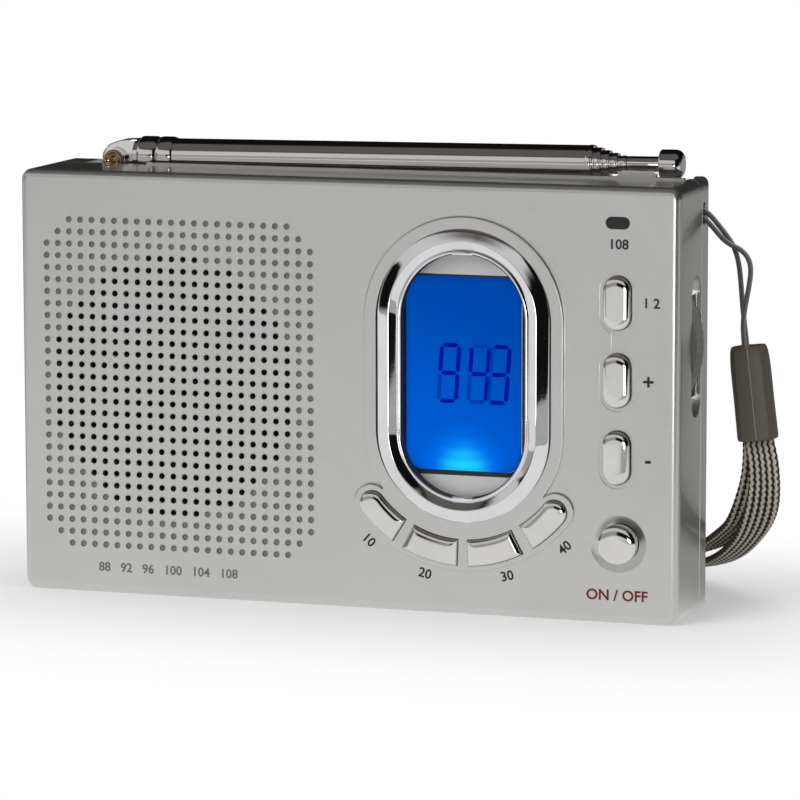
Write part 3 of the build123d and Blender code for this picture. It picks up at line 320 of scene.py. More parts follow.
@dataclass(frozen=True)
class Chrome:
    """Bright plated metal with hair marks."""

    name: str = "chrome"
    tint: Colour = (0.86, 0.86, 0.87)
    rough: float = 0.07
    stretch: Point = (1.0, 1.0, 1.0)
    shade: float = 0.93
    smears: float = 180.0
    hairs: float = 2600.0
    depth: float = 0.000004
    relief: float = 0.2

    def material(self) -> bpy.types.Material:
        """Gloss that varies a little with handling.

        Returns:
            The material.
        """
        look = Look(self.name)
        smear = look.noise(self.smears, 4.0, self.stretch)
        hair = look.noise(self.hairs, 2.0, self.stretch)
        colour = look.blend(smear.span(0.35, 0.75), self.tint, shaded(self.tint, self.shade))
        rough = smear * 0.03 + hair * 0.03 + (self.rough - 0.03)
        return look.finish(look.surface(Base_Color=colour, Metallic=1.0, Roughness=rough,
                                        Normal=look.bump(hair, self.depth, self.relief)))


@dataclass(frozen=True)
class Moulded:
    """Plain moulded or coated material: plastic, rubber, ferrite, zinc, paper; also the plain dark and pale
    colours used as painted shade and a painted highlight.
    """

    name: str
    tint: Colour
    rough: float = 0.45
    metal: float = 0.0
    grain: float = 2500.0
    depth: float = 0.00002
    vary: float = 0.12
    relief: float = 0.5

    def material(self) -> bpy.types.Material:
        """A fine grain with slow changes of tone.

        Returns:
            The material.
        """
        look = Look(self.name)
        grain = look.noise(self.grain, 3.0)
        tone = look.noise(self.grain / 40.0, 3.0)
        dark = shaded(self.tint, 1.0 - self.vary)
        colour = look.blend((grain * 0.6 + tone * 0.4).span(0.3, 0.7), dark, self.tint)
        rough = grain * 0.12 + (self.rough - 0.06)
        return look.finish(look.surface(Base_Color=colour, Metallic=self.metal, Roughness=rough,
                                        Normal=look.bump(grain, self.depth, self.relief)))


@dataclass(frozen=True)
class LitDisplay:
    """Back-lit blue liquid crystal, brighter where the lamp below shines in."""

    name: str = "lit_display"
    centre: Point = (23.85, 0.0, 46.86)
    half: Point2 = (11.85, 19.0)
    deep: Colour = (0.0, 0.062, 0.385)
    bright: Colour = (0.0, 0.115, 0.68)
    halo: Colour = (0.0, 0.20, 0.97)
    hot: Colour = (0.012, 0.68, 1.0)
    ripples: float = 52.0

    def material(self) -> bpy.types.Material:
        """Blue that darkens to the edges, with a cyan patch at the lower middle.

        Returns:
            The material.
        """
        look = Look(self.name)
        across = (look.along("X") / MM - self.centre[0]) / self.half[0]
        up = (look.along("Z") / MM - self.centre[2]) / self.half[1]
        edge = (across.size() ** 6.0 + up.size() ** 10.0).span(0.3, 1.4)
        base = look.blend(((up + across * 0.25) * 0.5 + 0.5).span(-0.15, 1.1), self.bright, self.deep)
        base = look.blend(edge * 0.55, base, shaded(self.deep, 0.5))
        reach = across * across * 1.15 + (up + 1.05) * (up + 1.05) * 2.3
        glow = (1.0 - reach.span(0.0, 1.0)) ** 2.0
        ripple = (up * self.ripples + across * across * -9.0).sine() * 0.10 + 0.9
        tint = look.blend(glow * ripple, base, look.blend(glow ** 5.0, self.halo, self.hot))
        return look.finish(look.surface(Base_Color=(0.0, 0.005, 0.02), Roughness=0.5, Specular_IOR_Level=0.0,
                                        Emission_Color=tint, Emission_Strength=1.0))


@dataclass(frozen=True)
class ClearWindow:
    """Clear moulded window: what is behind it shows, with a weak reflection."""

    name: str = "clear_window"
    clear: Colour = (0.97, 0.985, 1.0)
    dark: Colour = (0.02, 0.02, 0.02)
    density: float = 1.33
    strength: float = 0.12
    smears: float = 300.0

    def material(self) -> bpy.types.Material:
        """Clear and mirror mixed by the angle of sight.

        Returns:
            The material.
        """
        look = Look(self.name)
        clear = look.node("ShaderNodeBsdfTransparent", None, {"Color": self.clear})[0]
        gloss = look.surface(Base_Color=self.dark, Roughness=look.noise(self.smears) * 0.04 + 0.02)
        share = look.node("ShaderNodeFresnel", None, {"IOR": self.density})[0] * self.strength
        return look.finish(look.node("ShaderNodeMixShader", None, {0: share, 1: clear, 2: gloss})[0])


@dataclass(frozen=True)
class Braid:
    """Braided cord: crossing yarns, with painted shade in the gaps and at the cord's sides, laid out along
    the cord's own map.
    """

    name: str
    # light is the lit face of the cord; dark is the painted shade at its sides and in its gaps.
    light: Colour
    dark: Colour
    pitch: float
    width: float = 0.26
    swing: float = 0.14
    under: float = 0.22
    depth: float = 0.00012
    relief: float = 0.9
    fibres: float = 9000.0

    def material(self) -> bpy.types.Material:
        """A bright strand that zigzags along the middle of the cord's face, over strands darkened by painted
        shade at its sides, where the cords meet.

        Returns:
            The material.
        """
        look = Look(self.name)
        length, round_it = look.chart()
        middle = (round_it * 2.0).part() - 0.5
        swing = ((length / self.pitch).part() - 0.5).size() * 2.0 - 0.5
        # Painted shade: bright where the cord faces out, dark at its sides, where it meets its neighbours.
        lit_yarn = 1.0 - (middle + swing * self.swing).size().span(0.05, self.width)
        cross = ((length / self.pitch * 2.0 + middle.size() * 3.0).part() - 0.5).size() * 2.0
        fibre = look.noise(self.fibres, 2.0)
        lit = (lit_yarn * 0.95 + cross * self.under + fibre * 0.25).span(0.12, 1.05)
        rough = lit * -0.15 + 0.72
        return look.finish(look.surface(Base_Color=look.blend(lit, self.dark, self.light), Roughness=rough,
                                        Normal=look.bump(lit, self.depth, self.relief),
                                        Specular_IOR_Level=0.35))


@dataclass(frozen=True)
class Ink:
    """Printed ink."""

    name: str
    tint: Colour
    specks: float = 4000.0

    def material(self) -> bpy.types.Material:
        """Matt ink with a slightly uneven cover.

        Returns:
            The material.
        """
        look = Look(self.name)
        cover = look.noise(self.specks, 2.0)
        pale = tuple(min(1.0, part * 1.3 + 0.01) for part in self.tint)
        return look.finish(look.surface(Base_Color=look.blend(cover.span(0.4, 0.8), self.tint, pale),
                                        Roughness=cover * 0.1 + 0.5))


@dataclass(frozen=True)
class Segment:
    """A figure's bar: light from the panel that comes through it dimmed."""

    name: str
    tint: Colour
    specks: float = 2500.0

    def material(self) -> bpy.types.Material:
        """Dim blue light, a little uneven.

        Returns:
            The material.
        """
        look = Look(self.name)
        cover = look.noise(self.specks, 2.0)
        tint = look.blend(cover.span(0.3, 0.7), self.tint, shaded(self.tint, 1.25))
        return look.finish(look.surface(Base_Color=(0.0, 0.0, 0.01), Roughness=0.6, Specular_IOR_Level=0.0,
                                        Emission_Color=tint, Emission_Strength=1.0))


@dataclass(frozen=True)
class StudioFloor:
    """Pale matt table top that keeps its shadows and fades to white away from the radio."""

    name: str = "studio_floor"
    tint: Colour = (0.93, 0.93, 0.93)
    near: float = 0.20
    half: Point2 = (0.0675, 0.013)
    fade: Point2 = (-0.01, 0.085)
    ahead: float = 0.78
    behind: float = 0.31
    change: Point2 = (-0.02, 0.04)
    clouds: float = 30.0

    def material(self) -> bpy.types.Material:
        """White where it is looked at, dimmer where it is mirrored, with the shadow that falls on it.

        Returns:
            The material.
        """
        look = Look(self.name)
        rays = look.node("ShaderNodeLightPath")
        mirrored = rays[Ray.GLOSSY].most(rays[Ray.TRANSMISSION])
        x, y = look.along("X"), look.along("Y")
        out, off = ((value.size() - half).most(0.0) for value, half in zip((x, y), self.half))
        reach = (out * out + off * off) ** 0.5
        share = (reach.span(*self.fade) * (1.0 - self.near) + self.near).most(mirrored)
        image = y.span(*self.change) * (self.behind - self.ahead) + self.ahead
        glow = look.glow(rays[Ray.CAMERA].most(mirrored * image))
        rough = look.noise(self.clouds) * 0.04 + 0.5
        matt = look.surface(Base_Color=self.tint, Roughness=rough, Specular_IOR_Level=0.0)
        return look.finish(look.node("ShaderNodeMixShader", None, {0: share, 1: matt, 2: glow})[0])


@dataclass(frozen=True)
class GreySheet:
    """Card on the table in front of the radio, which only bright metal shows."""

    name: str = "grey_sheet"
    left: float = 0.78
    right: float = 0.40
    change: Point2 = (0.0, 0.06)

    def material(self) -> bpy.types.Material:
        """A dim light, paler to the left.

        Returns:
            The material.
        """
        look = Look(self.name)
        level = look.along("X").span(*self.change) * (self.right - self.left) + self.left
        return look.finish(look.glow(level))


@dataclass(frozen=True)
class Surroundings:
    """The dim room that bright metal mirrors: a pale table, a grey front with a bright strip, a dark rest.

    Directions are in degrees: a turn from straight ahead, and a rise from level.
    """

    name: str = "surroundings"
    table: float = 0.40
    table_middle: float = 0.30
    front: float = 0.34
    front_high: float = 0.60
    strip: float = 6.0
    left: float = 0.30
    behind: float = 0.20
    ceiling: float = 0.11
    dark: float = 0.006
    warm: Colour = (1.0, 0.90, 0.86)
    table_turn: Point2 = (-85.0, 21.0)
    middle_turn: Point2 = (-42.0, 21.0)
    table_edge: Point2 = (-2.5, 0.5)
    front_turn: Point2 = (-85.0, -13.0)
    front_top: Point2 = (30.0, 40.0)
    high_edge: Point2 = (9.0, 14.0)
    strip_turn: Point2 = (5.0, 17.0)
    strip_top: Point2 = (0.0, 5.0)
    left_turn: Point2 = (-140.0, -85.0)
    left_top: Point2 = (18.0, 40.0)
    behind_turn: Point2 = (84.0, 176.0)
    behind_top: Point2 = (2.0, 12.0)
    ceiling_edge: Point2 = (38.0, 43.0)
    ceiling_back: Point2 = (-0.4, 0.6)
    corner_turn: Point2 = (-68.0, -54.0)
    corner_rise: Point2 = (-4.0, 17.0)

    def material(self) -> bpy.types.Material:
        """Light given off in each direction, by how far round and how high it is, in degrees.

        Returns:
            The material.
        """
        look = Look(self.name)
        x, y, z = (look.along(axis) for axis in "XYZ")
        turn = x.bearing(y * -1.0)
        rise = z.bearing((x * x + y * y) ** 0.5)
        low = 1.0 - rise.span(*self.front_top)
        high = rise.span(*self.high_edge) * low
        under = 1.0 - rise.span(*self.table_edge)
        table = turn.between(*self.table_turn, 3.0) * self.table
        table = table + turn.between(*self.middle_turn, 3.0) * self.table_middle
        ahead = turn.between(*self.front_turn, 2.0) * (1.0 - high) * low * self.front
        above = turn.between(*self.table_turn, 3.0) * high * self.front_high
        strip = turn.between(*self.strip_turn, 2.5) * (1.0 - rise.span(*self.strip_top)) * self.strip
        beside = turn.between(*self.left_turn, 6.0) * (1.0 - rise.span(*self.left_top)) * self.left
        past = turn.between(*self.behind_turn, 10.0) * (1.0 - rise.span(*self.behind_top)) * self.behind
        over = rise.span(*self.ceiling_edge) * (1.0 - y.span(*self.ceiling_back)) * self.ceiling
        corner = turn.between(*self.corner_turn, 1.5) * rise.between(*self.corner_rise, 1.5)
        level = under * table + (1.0 - under) * ahead + above + strip + beside + past + over
        level = level * (1.0 - corner) + self.dark
        made = look.finish(look.glow(level, look.blend(level.span(0.0, 0.5), self.warm, WHITE)))
        made.cycles.emission_sampling = "NONE"
        return made


class Finish(Enum):
    """Every finish on the radio."""

    CASE = SilverPaint()
    MASK = SilverPaint("mask_silver", (0.97, 0.91, 0.855), 0.5, 0.42)
    CHROME = Chrome(rough=0.04)
    AERIAL = Chrome("aerial_chrome", (0.84, 0.82, 0.815), 0.08, (0.05, 1.0, 1.0))
    KEY = Chrome("key_chrome", (0.78, 0.77, 0.75), 0.045)
    BRASS = Chrome("rivet_brass", (0.42, 0.33, 0.20), 0.09)
    ZINC = Moulded("zinc_plate", (0.55, 0.56, 0.58), 0.35, 0.9, 1800.0, 0.00001)
    DISPLAY = LitDisplay()
    WINDOW = ClearWindow()
    DIFFUSER = Moulded("white_diffuser", (0.85, 0.86, 0.88), 0.6)
    # Dark strips: painted shade in the key gaps, the ring's groove and wall and the screw slots, and the dark
    # edge round the lit area.
    GAP = Moulded("dark_edge_and_painted_shade", (0.03, 0.028, 0.026), 0.6)
    SMOKE = Moulded("smoked_lens", (0.016, 0.014, 0.013), 0.18, 0.0, 900.0, 0.000005)
    LAMP = Moulded("lamp_red", (0.45, 0.02, 0.01), 0.25)
    BLACK = Moulded("black_plastic", (0.025, 0.025, 0.027), 0.5)
    WHEEL = Moulded("wheel_grey", (0.30, 0.295, 0.285), 0.5, 0.2)
    CONE = Moulded("paper_cone", (0.02, 0.02, 0.02), 0.85, 0.0, 1500.0, 0.0001)
    STEEL = Moulded("black_steel", (0.06, 0.06, 0.065), 0.4, 0.6)
    MAGNET = Moulded("magnet_ferrite", (0.10, 0.10, 0.11), 0.5, 0.2, 700.0)
    FERRITE = Moulded("rod_ferrite", (0.09, 0.085, 0.085), 0.55, 0.1, 900.0)
    COPPER = Moulded("copper_wire", (0.60, 0.27, 0.12), 0.3, 0.9)
    BOARD = Moulded("board_green", (0.02, 0.17, 0.07), 0.32, 0.0, 600.0)
    CELL = Moulded("cell_sleeve", (0.07, 0.10, 0.16), 0.28, 0.1)
    # The cords' pale and dark colours include painted light: lit faces, with painted shade at their sides and
    # in their gaps.
    CORD = Braid("thin_cord", (0.34, 0.325, 0.31), (0.12, 0.11, 0.105), 0.55, 0.45, 0.05, 0.5)
    BAND = Braid("band_cord", (0.80, 0.745, 0.65), (0.022, 0.016, 0.011), 1.35, swing=0.2, depth=0.0002)
    BEAD = Moulded("bead_taupe", (0.125, 0.108, 0.085), 0.42, 0.0, 1200.0, 0.00001, 0.08)
    # Painted highlight: the pale colour of the bead's seam ridge.
    SEAM = Moulded("bead_seam", (0.34, 0.31, 0.26), 0.4, 0.0, 1200.0, 0.00001, 0.08)
    # Painted shade: the grey of the discs in the grille's dimples.
    DIMPLE = Moulded("dimple_painted_shade", (0.25, 0.246, 0.236), 0.6, 0.0, 1500.0, 0.00001)
    INK = Ink("dark_ink", (0.012, 0.012, 0.016))
    RED_INK = Ink("red_ink", (0.14, 0.010, 0.014))
    GREY_INK = Ink("grey_ink", (0.16, 0.16, 0.165))
    SEGMENT = Segment("dark_segment", (0.0, 0.006, 0.26))
    FAINT = Segment("faint_segment", (0.0, 0.045, 0.38))
    SHEET = GreySheet()
    FLOOR = StudioFloor()
    ROOM = Surroundings()


class Paint:
    """Hands out each finish's material, made once."""

    made: dict[Finish, bpy.types.Material] = {}

    @classmethod
    def get(cls, finish: Finish) -> bpy.types.Material:
        """Find a finish's material, or make it the first time.

        Args:
            finish: the finish.

        Returns:
            The material.
        """
        if finish not in cls.made:
            cls.made[finish] = finish.value.material()
        return cls.made[finish]


# ------------------------------------------------------------------ mesh tools
def new_object(name: str, data: Any) -> bpy.types.Object:
    """Make an object and put it in the scene.

    Args:
        name: its name.
        data: the mesh, curve, lamp or camera that it shows.

    Returns:
        The object.
    """
    made = bpy.data.objects.new(name, data)
    bpy.context.scene.collection.objects.link(made)
    return made


def plain_mesh(made: bpy.types.Object) -> bpy.types.Mesh:
    """What an object comes to once its curve, words or modifier are worked out.

    Args:
        made: the object.

    Returns:
        A mesh of its own.
    """
    bpy.context.view_layer.update()
    graph = bpy.context.evaluated_depsgraph_get()
    return bpy.data.meshes.new_from_object(made.evaluated_get(graph))


def face_outwards(mesh: bpy.types.Mesh, merge: bool = False) -> None:
    """Turn a mesh's faces outwards.

    Args:
        mesh: the mesh.
        merge: whether points at one place become one first.
    """
    build = bmesh.new()
    build.from_mesh(mesh)
    if merge:
        bmesh.ops.remove_doubles(build, verts=build.verts, dist=MERGE)
    bmesh.ops.recalc_face_normals(build, faces=build.faces)
    build.to_mesh(mesh)
    build.free()


def bands(rows: int, count: int, first: int = 0, closed: bool = False) -> list[Face]:
    """Faces between neighbouring rows of points, where each row is a loop.

    Args:
        rows: how many rows there are.
        count: points in a row.
        first: number of the first row's first point.
        closed: whether the last row meets the first.

    Returns:
        The faces, as point numbers.
    """
    faces = []
    for row in range(rows if closed else rows - 1):
        near, far = first + row * count, first + (row + 1) % rows * count
        faces += [(near + k, near + (k + 1) % count, far + (k + 1) % count, far + k) for k in range(count)]
    return faces


def cap(first: int, count: int) -> Face:
    """One face over a row of points."""
    return tuple(range(first, first + count))


def circle(count: int) -> list[Point2]:
    """Points round a circle of radius 1."""
    angles = [ROUND * k / count for k in range(count)]
    return [(math.cos(angle), math.sin(angle)) for angle in angles]


def arc(start: float, sweep: float, steps: int) -> list[Point2]:
    """Points along an arc of radius 1, both its ends included; angles in degrees."""
    angles = [math.radians(start + sweep * k / steps) for k in range(steps + 1)]
    return [(math.cos(angle), math.sin(angle)) for angle in angles]


def oval(x: float, z: float, radius: float, straight: float, steps: int) -> list[Point2]:
    """Find points round an upright oval.

    Args:
        x: its middle, to the right.
        z: its middle, up.
        radius: the radius of its ends.
        straight: half the length of its straight sides.
        steps: how many sides each end has.

    Returns:
        The points, in the unit of the sizes.
    """
    ends = ((straight, arc(0, 180, steps)), (-straight, arc(180, 180, steps)))
    return [(x + radius * out, z + lift + radius * up) for lift, points in ends for out, up in points]


def new_piece(name: str, verts: Sequence[Any], faces: Sequence[Sequence[int]], finish: Finish,
              smooth: bool = True) -> bpy.types.Object:
    """Make a mesh object in the row frame.

    Args:
        name: the piece's name.
        verts: its points, in metres.
        faces: its faces, as point numbers.
        finish: what it is made of.
        smooth: whether its faces are shaded smooth where they meet at a shallow angle.

    Returns:
        The object.
    """
    mesh = bpy.data.meshes.new(name)
    mesh.from_pydata([tuple(v) for v in verts], [], [tuple(f) for f in faces])
    face_outwards(mesh, merge=True)
    mesh.materials.append(Paint.get(finish))
    if smooth:
        mesh.shade_smooth()
        mesh.set_sharp_from_angle(angle=math.radians(SHARP))
    return new_object(name, mesh)


def dress(nodes: Iterable[str], finish: Finish) -> None:
    """Give CAD nodes a finish.

    Args:
        nodes: their names.
        finish: the finish.
    """
    for name in nodes:
        mesh = frame["nodes"][name].data
        mesh.materials.clear()
        mesh.materials.append(Paint.get(finish))


def spline_line(route: Sequence[Point], steps: int) -> list[Vector]:
    """A smooth line drawn by a NURBS spline with a route's points as its control points.

    Args:
        route: the control points, in millimetres.
        steps: samples between neighbouring points.

    Returns:
        The line's samples, in metres.
    """
    curve = bpy.data.curves.new("route", "CURVE")
    curve.dimensions = "3D"
    curve.resolution_u = steps
    spline = curve.splines.new("NURBS")
    spline.points.add(len(route) - 1)
    for point, spot in zip(spline.points, route):
        point.co = (*mm(*spot), 1.0)
    spline.order_u = 3
    spline.use_endpoint_u = True
    spline.resolution_u = steps
    holder = new_object("route", curve)
    mesh = plain_mesh(holder)
    line = [vert.co.copy() for vert in mesh.vertices]
    bpy.data.objects.remove(holder)
    bpy.data.meshes.remove(mesh)
    return line


def travelled(line: Sequence[Vector]) -> list[float]:
    """Measure along a line.

    Args:
        line: its samples.

    Returns:
        The distance from its start to each sample, in metres.
    """
    total = [0.0]
    for a, b in zip(line, line[1:]):
        total.append(total[-1] + (b - a).length)
    return total


def heading(line: Sequence[Vector], n: int) -> Vector:
    """The way that a line runs at one of its samples."""
    return (line[min(n + 1, len(line) - 1)] - line[max(n - 1, 0)]).normalized()


def squared(side: Vector, way: Vector) -> Vector:
    """A direction made square to another, and as long as 1."""
    return (side - way * side.dot(way)).normalized()


class Tube:
    """Collects round cords that follow lines, each with a map of its length and the way round."""

    def __init__(self, sides: int) -> None:
        """Args: sides: how many faces go round a cord."""
        self.sides = sides
        self.verts: list[Vector] = []
        self.faces: list[Face] = []
        self.charts: list[Point2] = []

    def add(self, line: Sequence[Vector], across: Sequence[Vector], radius: float, pitch: float = 1.0,
            swell: float = 0.0) -> None:
        """Add one cord.

        Args:
            line: samples of its middle line.
            across: a direction across the cord at each sample.
            radius: its radius, in metres.
            pitch: length of one crossing of its yarns, in millimetres.
            swell: how much each crossing stands out, as a share of the radius.
        """
        first = len(self.verts)
        length = travelled(line)
        for n, (spot, side) in enumerate(zip(line, across)):
            way = heading(line, n)
            side = squared(side, way)
            up = way.cross(side)
            reach = radius * (1 + swell * math.sin(ROUND * length[n] / MM / pitch))
            self.verts += [spot + (side * out + up * rise) * reach for out, rise in circle(self.sides)]
        self.faces += bands(len(line), self.sides, first)
        for near, far in zip(length, length[1:]):
            for k in range(self.sides):
                low, high = k / self.sides, (k + 1) / self.sides
                self.charts += [(near / MM, low), (near / MM, high), (far / MM, high), (far / MM, low)]
        for end in (first, len(self.verts) - self.sides):
            self.faces.append(cap(end, self.sides))
            self.charts += [(0.0, 0.0)] * self.sides

    def piece(self, name: str, finish: Finish) -> bpy.types.Object:
        """Turn the cords into one object.

        Args:
            name: the piece's name.
            finish: what it is made of.

        Returns:
            The object.
        """
        mesh = bpy.data.meshes.new(name)
        mesh.from_pydata([tuple(v) for v in self.verts], [], self.faces)
        chart = mesh.uv_layers.new(name="UVMap")
        for corner, place in zip(chart.data, self.charts):
            corner.uv = place
        face_outwards(mesh)
        mesh.shade_smooth()
        mesh.materials.append(Paint.get(finish))
        return new_object(name, mesh)


class Repeat(Tree):
    """A Geometry Nodes tree that sets a small form on every spot of a carrier mesh."""

    def __init__(self, name: str, sizes: dict[str, float | int]) -> None:
        """Args: name: the tree's name. sizes: its named inputs and their values, in metres or counts."""
        group = bpy.data.node_groups.new(name, "GeometryNodeTree")
        group.interface.new_socket("Spots", in_out="INPUT", socket_type="NodeSocketGeometry")
        for key, size in sizes.items():
            kind = "NodeSocketInt" if isinstance(size, int) else "NodeSocketFloat"
            group.interface.new_socket(key, in_out="INPUT", socket_type=kind)
        group.interface.new_socket("Made", in_out="OUTPUT", socket_type="NodeSocketGeometry")
        super().__init__(group)
        self.sizes = sizes
        outputs = self.node("NodeGroupInput")
        self.spots = outputs[0]
        self.given = dict(zip(sizes, outputs[1:]))

    def bar(self, x: Any, y: Any, z: Any) -> Value:
        """A block of those sizes about the origin."""
        size = self.node("ShaderNodeCombineXYZ", None, {0: x, 1: y, 2: z})[0]
        return self.node("GeometryNodeMeshCube", None, {"Size": size})[0]

    def moved(self, form: Value, offset: Any = (0.0, 0.0, 0.0), turn: Any = (0.0, 0.0, 0.0)) -> Value:
        """A form turned, then moved."""
        inputs = {"Geometry": form, "Translation": offset, "Rotation": turn}
        return self.node("GeometryNodeTransform", None, inputs)[0]

    def ring(self, corners: Any, radius: Any) -> Value:
        """A closed line round the origin."""
        inputs = {"Resolution": corners, "Radius": radius}
        return self.node("GeometryNodeCurvePrimitiveCircle", None, inputs)[0]

    def swept(self, way: Value, section: Value) -> Value:
        """A form with that section all along a line."""
        return self.node("GeometryNodeCurveToMesh", None, {"Curve": way, "Profile Curve": section})[0]

    def joined(self, *forms: Value) -> Value:
        """Several forms as one."""
        return self.node("GeometryNodeJoinGeometry", None, {0: list(forms)})[0]

    def set_on(self, spots: Value, form: Value, turn: Any = (0.0, 0.0, 0.0)) -> Value:
        """The form on every spot."""
        inputs = {"Points": spots, "Instance": form, "Rotation": turn}
        return self.node("GeometryNodeInstanceOnPoints", None, inputs)[0]

    def piece(self, name: str, shape: Value, finish: Finish, spots: Sequence[Vector],
              smooth: bool = False) -> bpy.types.Object:
        """End the tree, run it and keep the result as a plain mesh object.

        Args:
            name: the piece's name.
            shape: what the tree makes.
            finish: what it is made of.
            spots: the carrier's points, in metres.
            smooth: whether its faces are shaded smooth.

        Returns:
            The object, with no modifier left on it.
        """
        real = self.node("GeometryNodeRealizeInstances", None, {"Geometry": shape})[0]
        even = self.node("GeometryNodeSetShadeSmooth", None, {"Geometry": real, "Shade Smooth": smooth})[0]
        inputs = {"Geometry": even, "Material": Paint.get(finish)}
        dressed = self.node("GeometryNodeSetMaterial", None, inputs)[0]
        self.node("NodeGroupOutput", None, {0: dressed})
        carrier = bpy.data.meshes.new(name + "_spots")
        carrier.from_pydata([tuple(spot) for spot in spots], [], [])
        made = new_object(name, carrier)
        modifier = made.modifiers.new(name, "NODES")
        modifier.node_group = self.tree
        for item in self.tree.interface.items_tree:
            if item.in_out == "INPUT" and item.name in self.sizes:
                modifier[item.identifier] = self.sizes[item.name]
        mesh = plain_mesh(made)
        made.modifiers.clear()
        made.data = mesh
        mesh.name = name
        return made


# ------------------------------------------------------------------ case
@dataclass(frozen=True)
class Mark:
    """A mark printed on the face: its words, its middle, its turn in degrees, its size and its ink."""

    text: str
    x: float
    z: float
    turn: float = 0.0
    scale: float = 1.0
    ink: Finish = Finish.INK


@dataclass
class Case:
    """The two shells, the battery door and the marks on the face. Sizes are in millimetres."""

    front_y: float = -12.2
    shells: tuple[str, ...] = ("front_shell", "rear_shell", "battery_door")
    marks: tuple[Mark, ...] = (
        Mark("108", 55.4, 73.2), Mark("1 2", 61.9, 62.1), Mark("+", 61.4, 46.9, scale=1.5),
        Mark("-", 61.4, 32.0, scale=1.5), Mark("10", 5.2, 13.6, -42.0), Mark("20", 16.7, 7.6, -14.0),
        Mark("30", 33.4, 8.0, 14.0), Mark("40", 45.0, 14.2, 42.0),
        Mark("ON / OFF", 55.4, 5.4, scale=1.1, ink=Finish.RED_INK),
        Mark("88   92   96   100   104   108", -36.8, 5.2, scale=0.95, ink=Finish.GREY_INK),
    )
    mark_size: float = 2.66
    mark_thick: float = 0.01
    mark_bold: float = 0.06
    mark_lift: float = 0.012
    mark_steps: int = 3
    pitch: float = 2.4
    columns: int = 24
    rows: int = 28
    corner_cut: int = 2
    grille_at: Point2 = (-34.32, 42.14)
    hole: float = 0.58
    rim: float = 0.07
    rim_sides: tuple[int, int] = (14, 5)
    open_reach: float = 10.8
    dimple_depth: float = 0.16
    dimple_clear: float = 0.02
    dimple_sides: int = 12
    screws: tuple[Point2, ...] = ((-62.3, 76.0), (-44.0, 6.0), (62.3, 6.5), (61.2, 72.0))
    slot_size: Point = (2.3, 0.02, 0.5)
    slot_lift: float = 0.015
    slot_over: float = 1.1
    rib_count: int = 7
    rib_size: Point = (18.0, 0.5, 0.8)
    rib_pitch: float = 1.5
    rib_foot: float = 4.0

    def build(self) -> None:
        """Dress the shells, print the marks and set the small repeated forms."""
        dress(self.shells, Finish.CASE)
        for n, mark in enumerate(self.marks):
            self.print_mark(f"mark_{n}", mark)
        # The dimple discs and the screw crosses are painted shade.
        for made, body, slot in ((self.grille_rims(), "case", "case_silver"),
                                 (self.dimple_floors(), "case", "case_silver"),
                                 (self.screw_slots(), "case", "black_plastic"),
                                 (self.door_ribs(), "battery_door", "case_silver")):
            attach(made, body)

    def grille_spots(self, closed: bool) -> list[Vector]:
        """The middles of the grille's holes and dimples, or of its dimples alone.

        Args:
            closed: whether only the dimples, outside the open circle, are wanted.

        Returns:
            Points on the case's face, in metres.
        """
        spots = []
        for column in range(self.columns):
            for row in range(self.rows):
                from_side = min(column, self.columns - 1 - column)
                from_end = min(row, self.rows - 1 - row)
                x = self.grille_at[0] + (column - (self.columns - 1) / 2) * self.pitch
                z = self.grille_at[1] + (row - (self.rows - 1) / 2) * self.pitch
                away = math.hypot(x - self.grille_at[0] + self.pitch / 2, z - self.grille_at[1])
                drilled = closed and away < self.open_reach * self.pitch
                if from_side + from_end >= self.corner_cut and not drilled:
                    spots.append(mm(x, self.front_y, z))
        return spots

    def dimple_floors(self) -> bpy.types.Object:
        """Set a disc of painted shade on the floor of every dimple.

        Returns:
            The object.
        """
        radius = self.hole - self.dimple_clear
        tree = Repeat("dimple_floors", {"Radius": radius * MM, "Depth": self.dimple_depth * MM})
        inputs = {"Vertices": self.dimple_sides, "Radius": tree.given["Radius"]}
        disc = tree.node("GeometryNodeMeshCircle", {"fill_type": "NGON"}, inputs)[0]
        offset = tree.node("ShaderNodeCombineXYZ", None, {1: tree.given["Depth"]})[0]
        floors = tree.set_on(tree.spots, tree.moved(disc, offset, (QUARTER, 0.0, 0.0)))
        return tree.piece("dimple_floors", floors, Finish.DIMPLE, self.grille_spots(True))

    def grille_rims(self) -> bpy.types.Object:
        """Set a fine raised rim round every hole and dimple of the grille.

        Returns:
            The object.
        """
        sizes = {"Hole radius": (self.hole + self.rim) * MM, "Rim radius": self.rim * MM}
        tree = Repeat("grille_rims", sizes)
        way, section = (tree.ring(sides, tree.given[key]) for sides, key in zip(self.rim_sides, sizes))
        rims = tree.set_on(tree.spots, tree.moved(tree.swept(way, section), turn=(QUARTER, 0.0, 0.0)))
        return tree.piece("grille_rims", rims, Finish.CASE, self.grille_spots(False), True)

    def screw_slots(self) -> bpy.types.Object:
        """Set the dark cross of painted shade in the head of each screw at the back; its upright bar is a
        little deeper.

        Returns:
            The object.
        """
        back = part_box("case_screws")[1][1] / MM
        length, depth, width = self.slot_size
        tree = Repeat("screw_slots", {"Length": length * MM, "Depth": depth * MM, "Width": width * MM})
        along = tree.bar(tree.given["Length"], tree.given["Depth"], tree.given["Width"])
        up = tree.bar(tree.given["Width"], tree.given["Depth"] * self.slot_over, tree.given["Length"])
        spots = [mm(x, back + self.slot_lift, z) for x, z in self.screws]
        return tree.piece("screw_slots", tree.set_on(tree.spots, tree.joined(along, up)), Finish.GAP, spots)

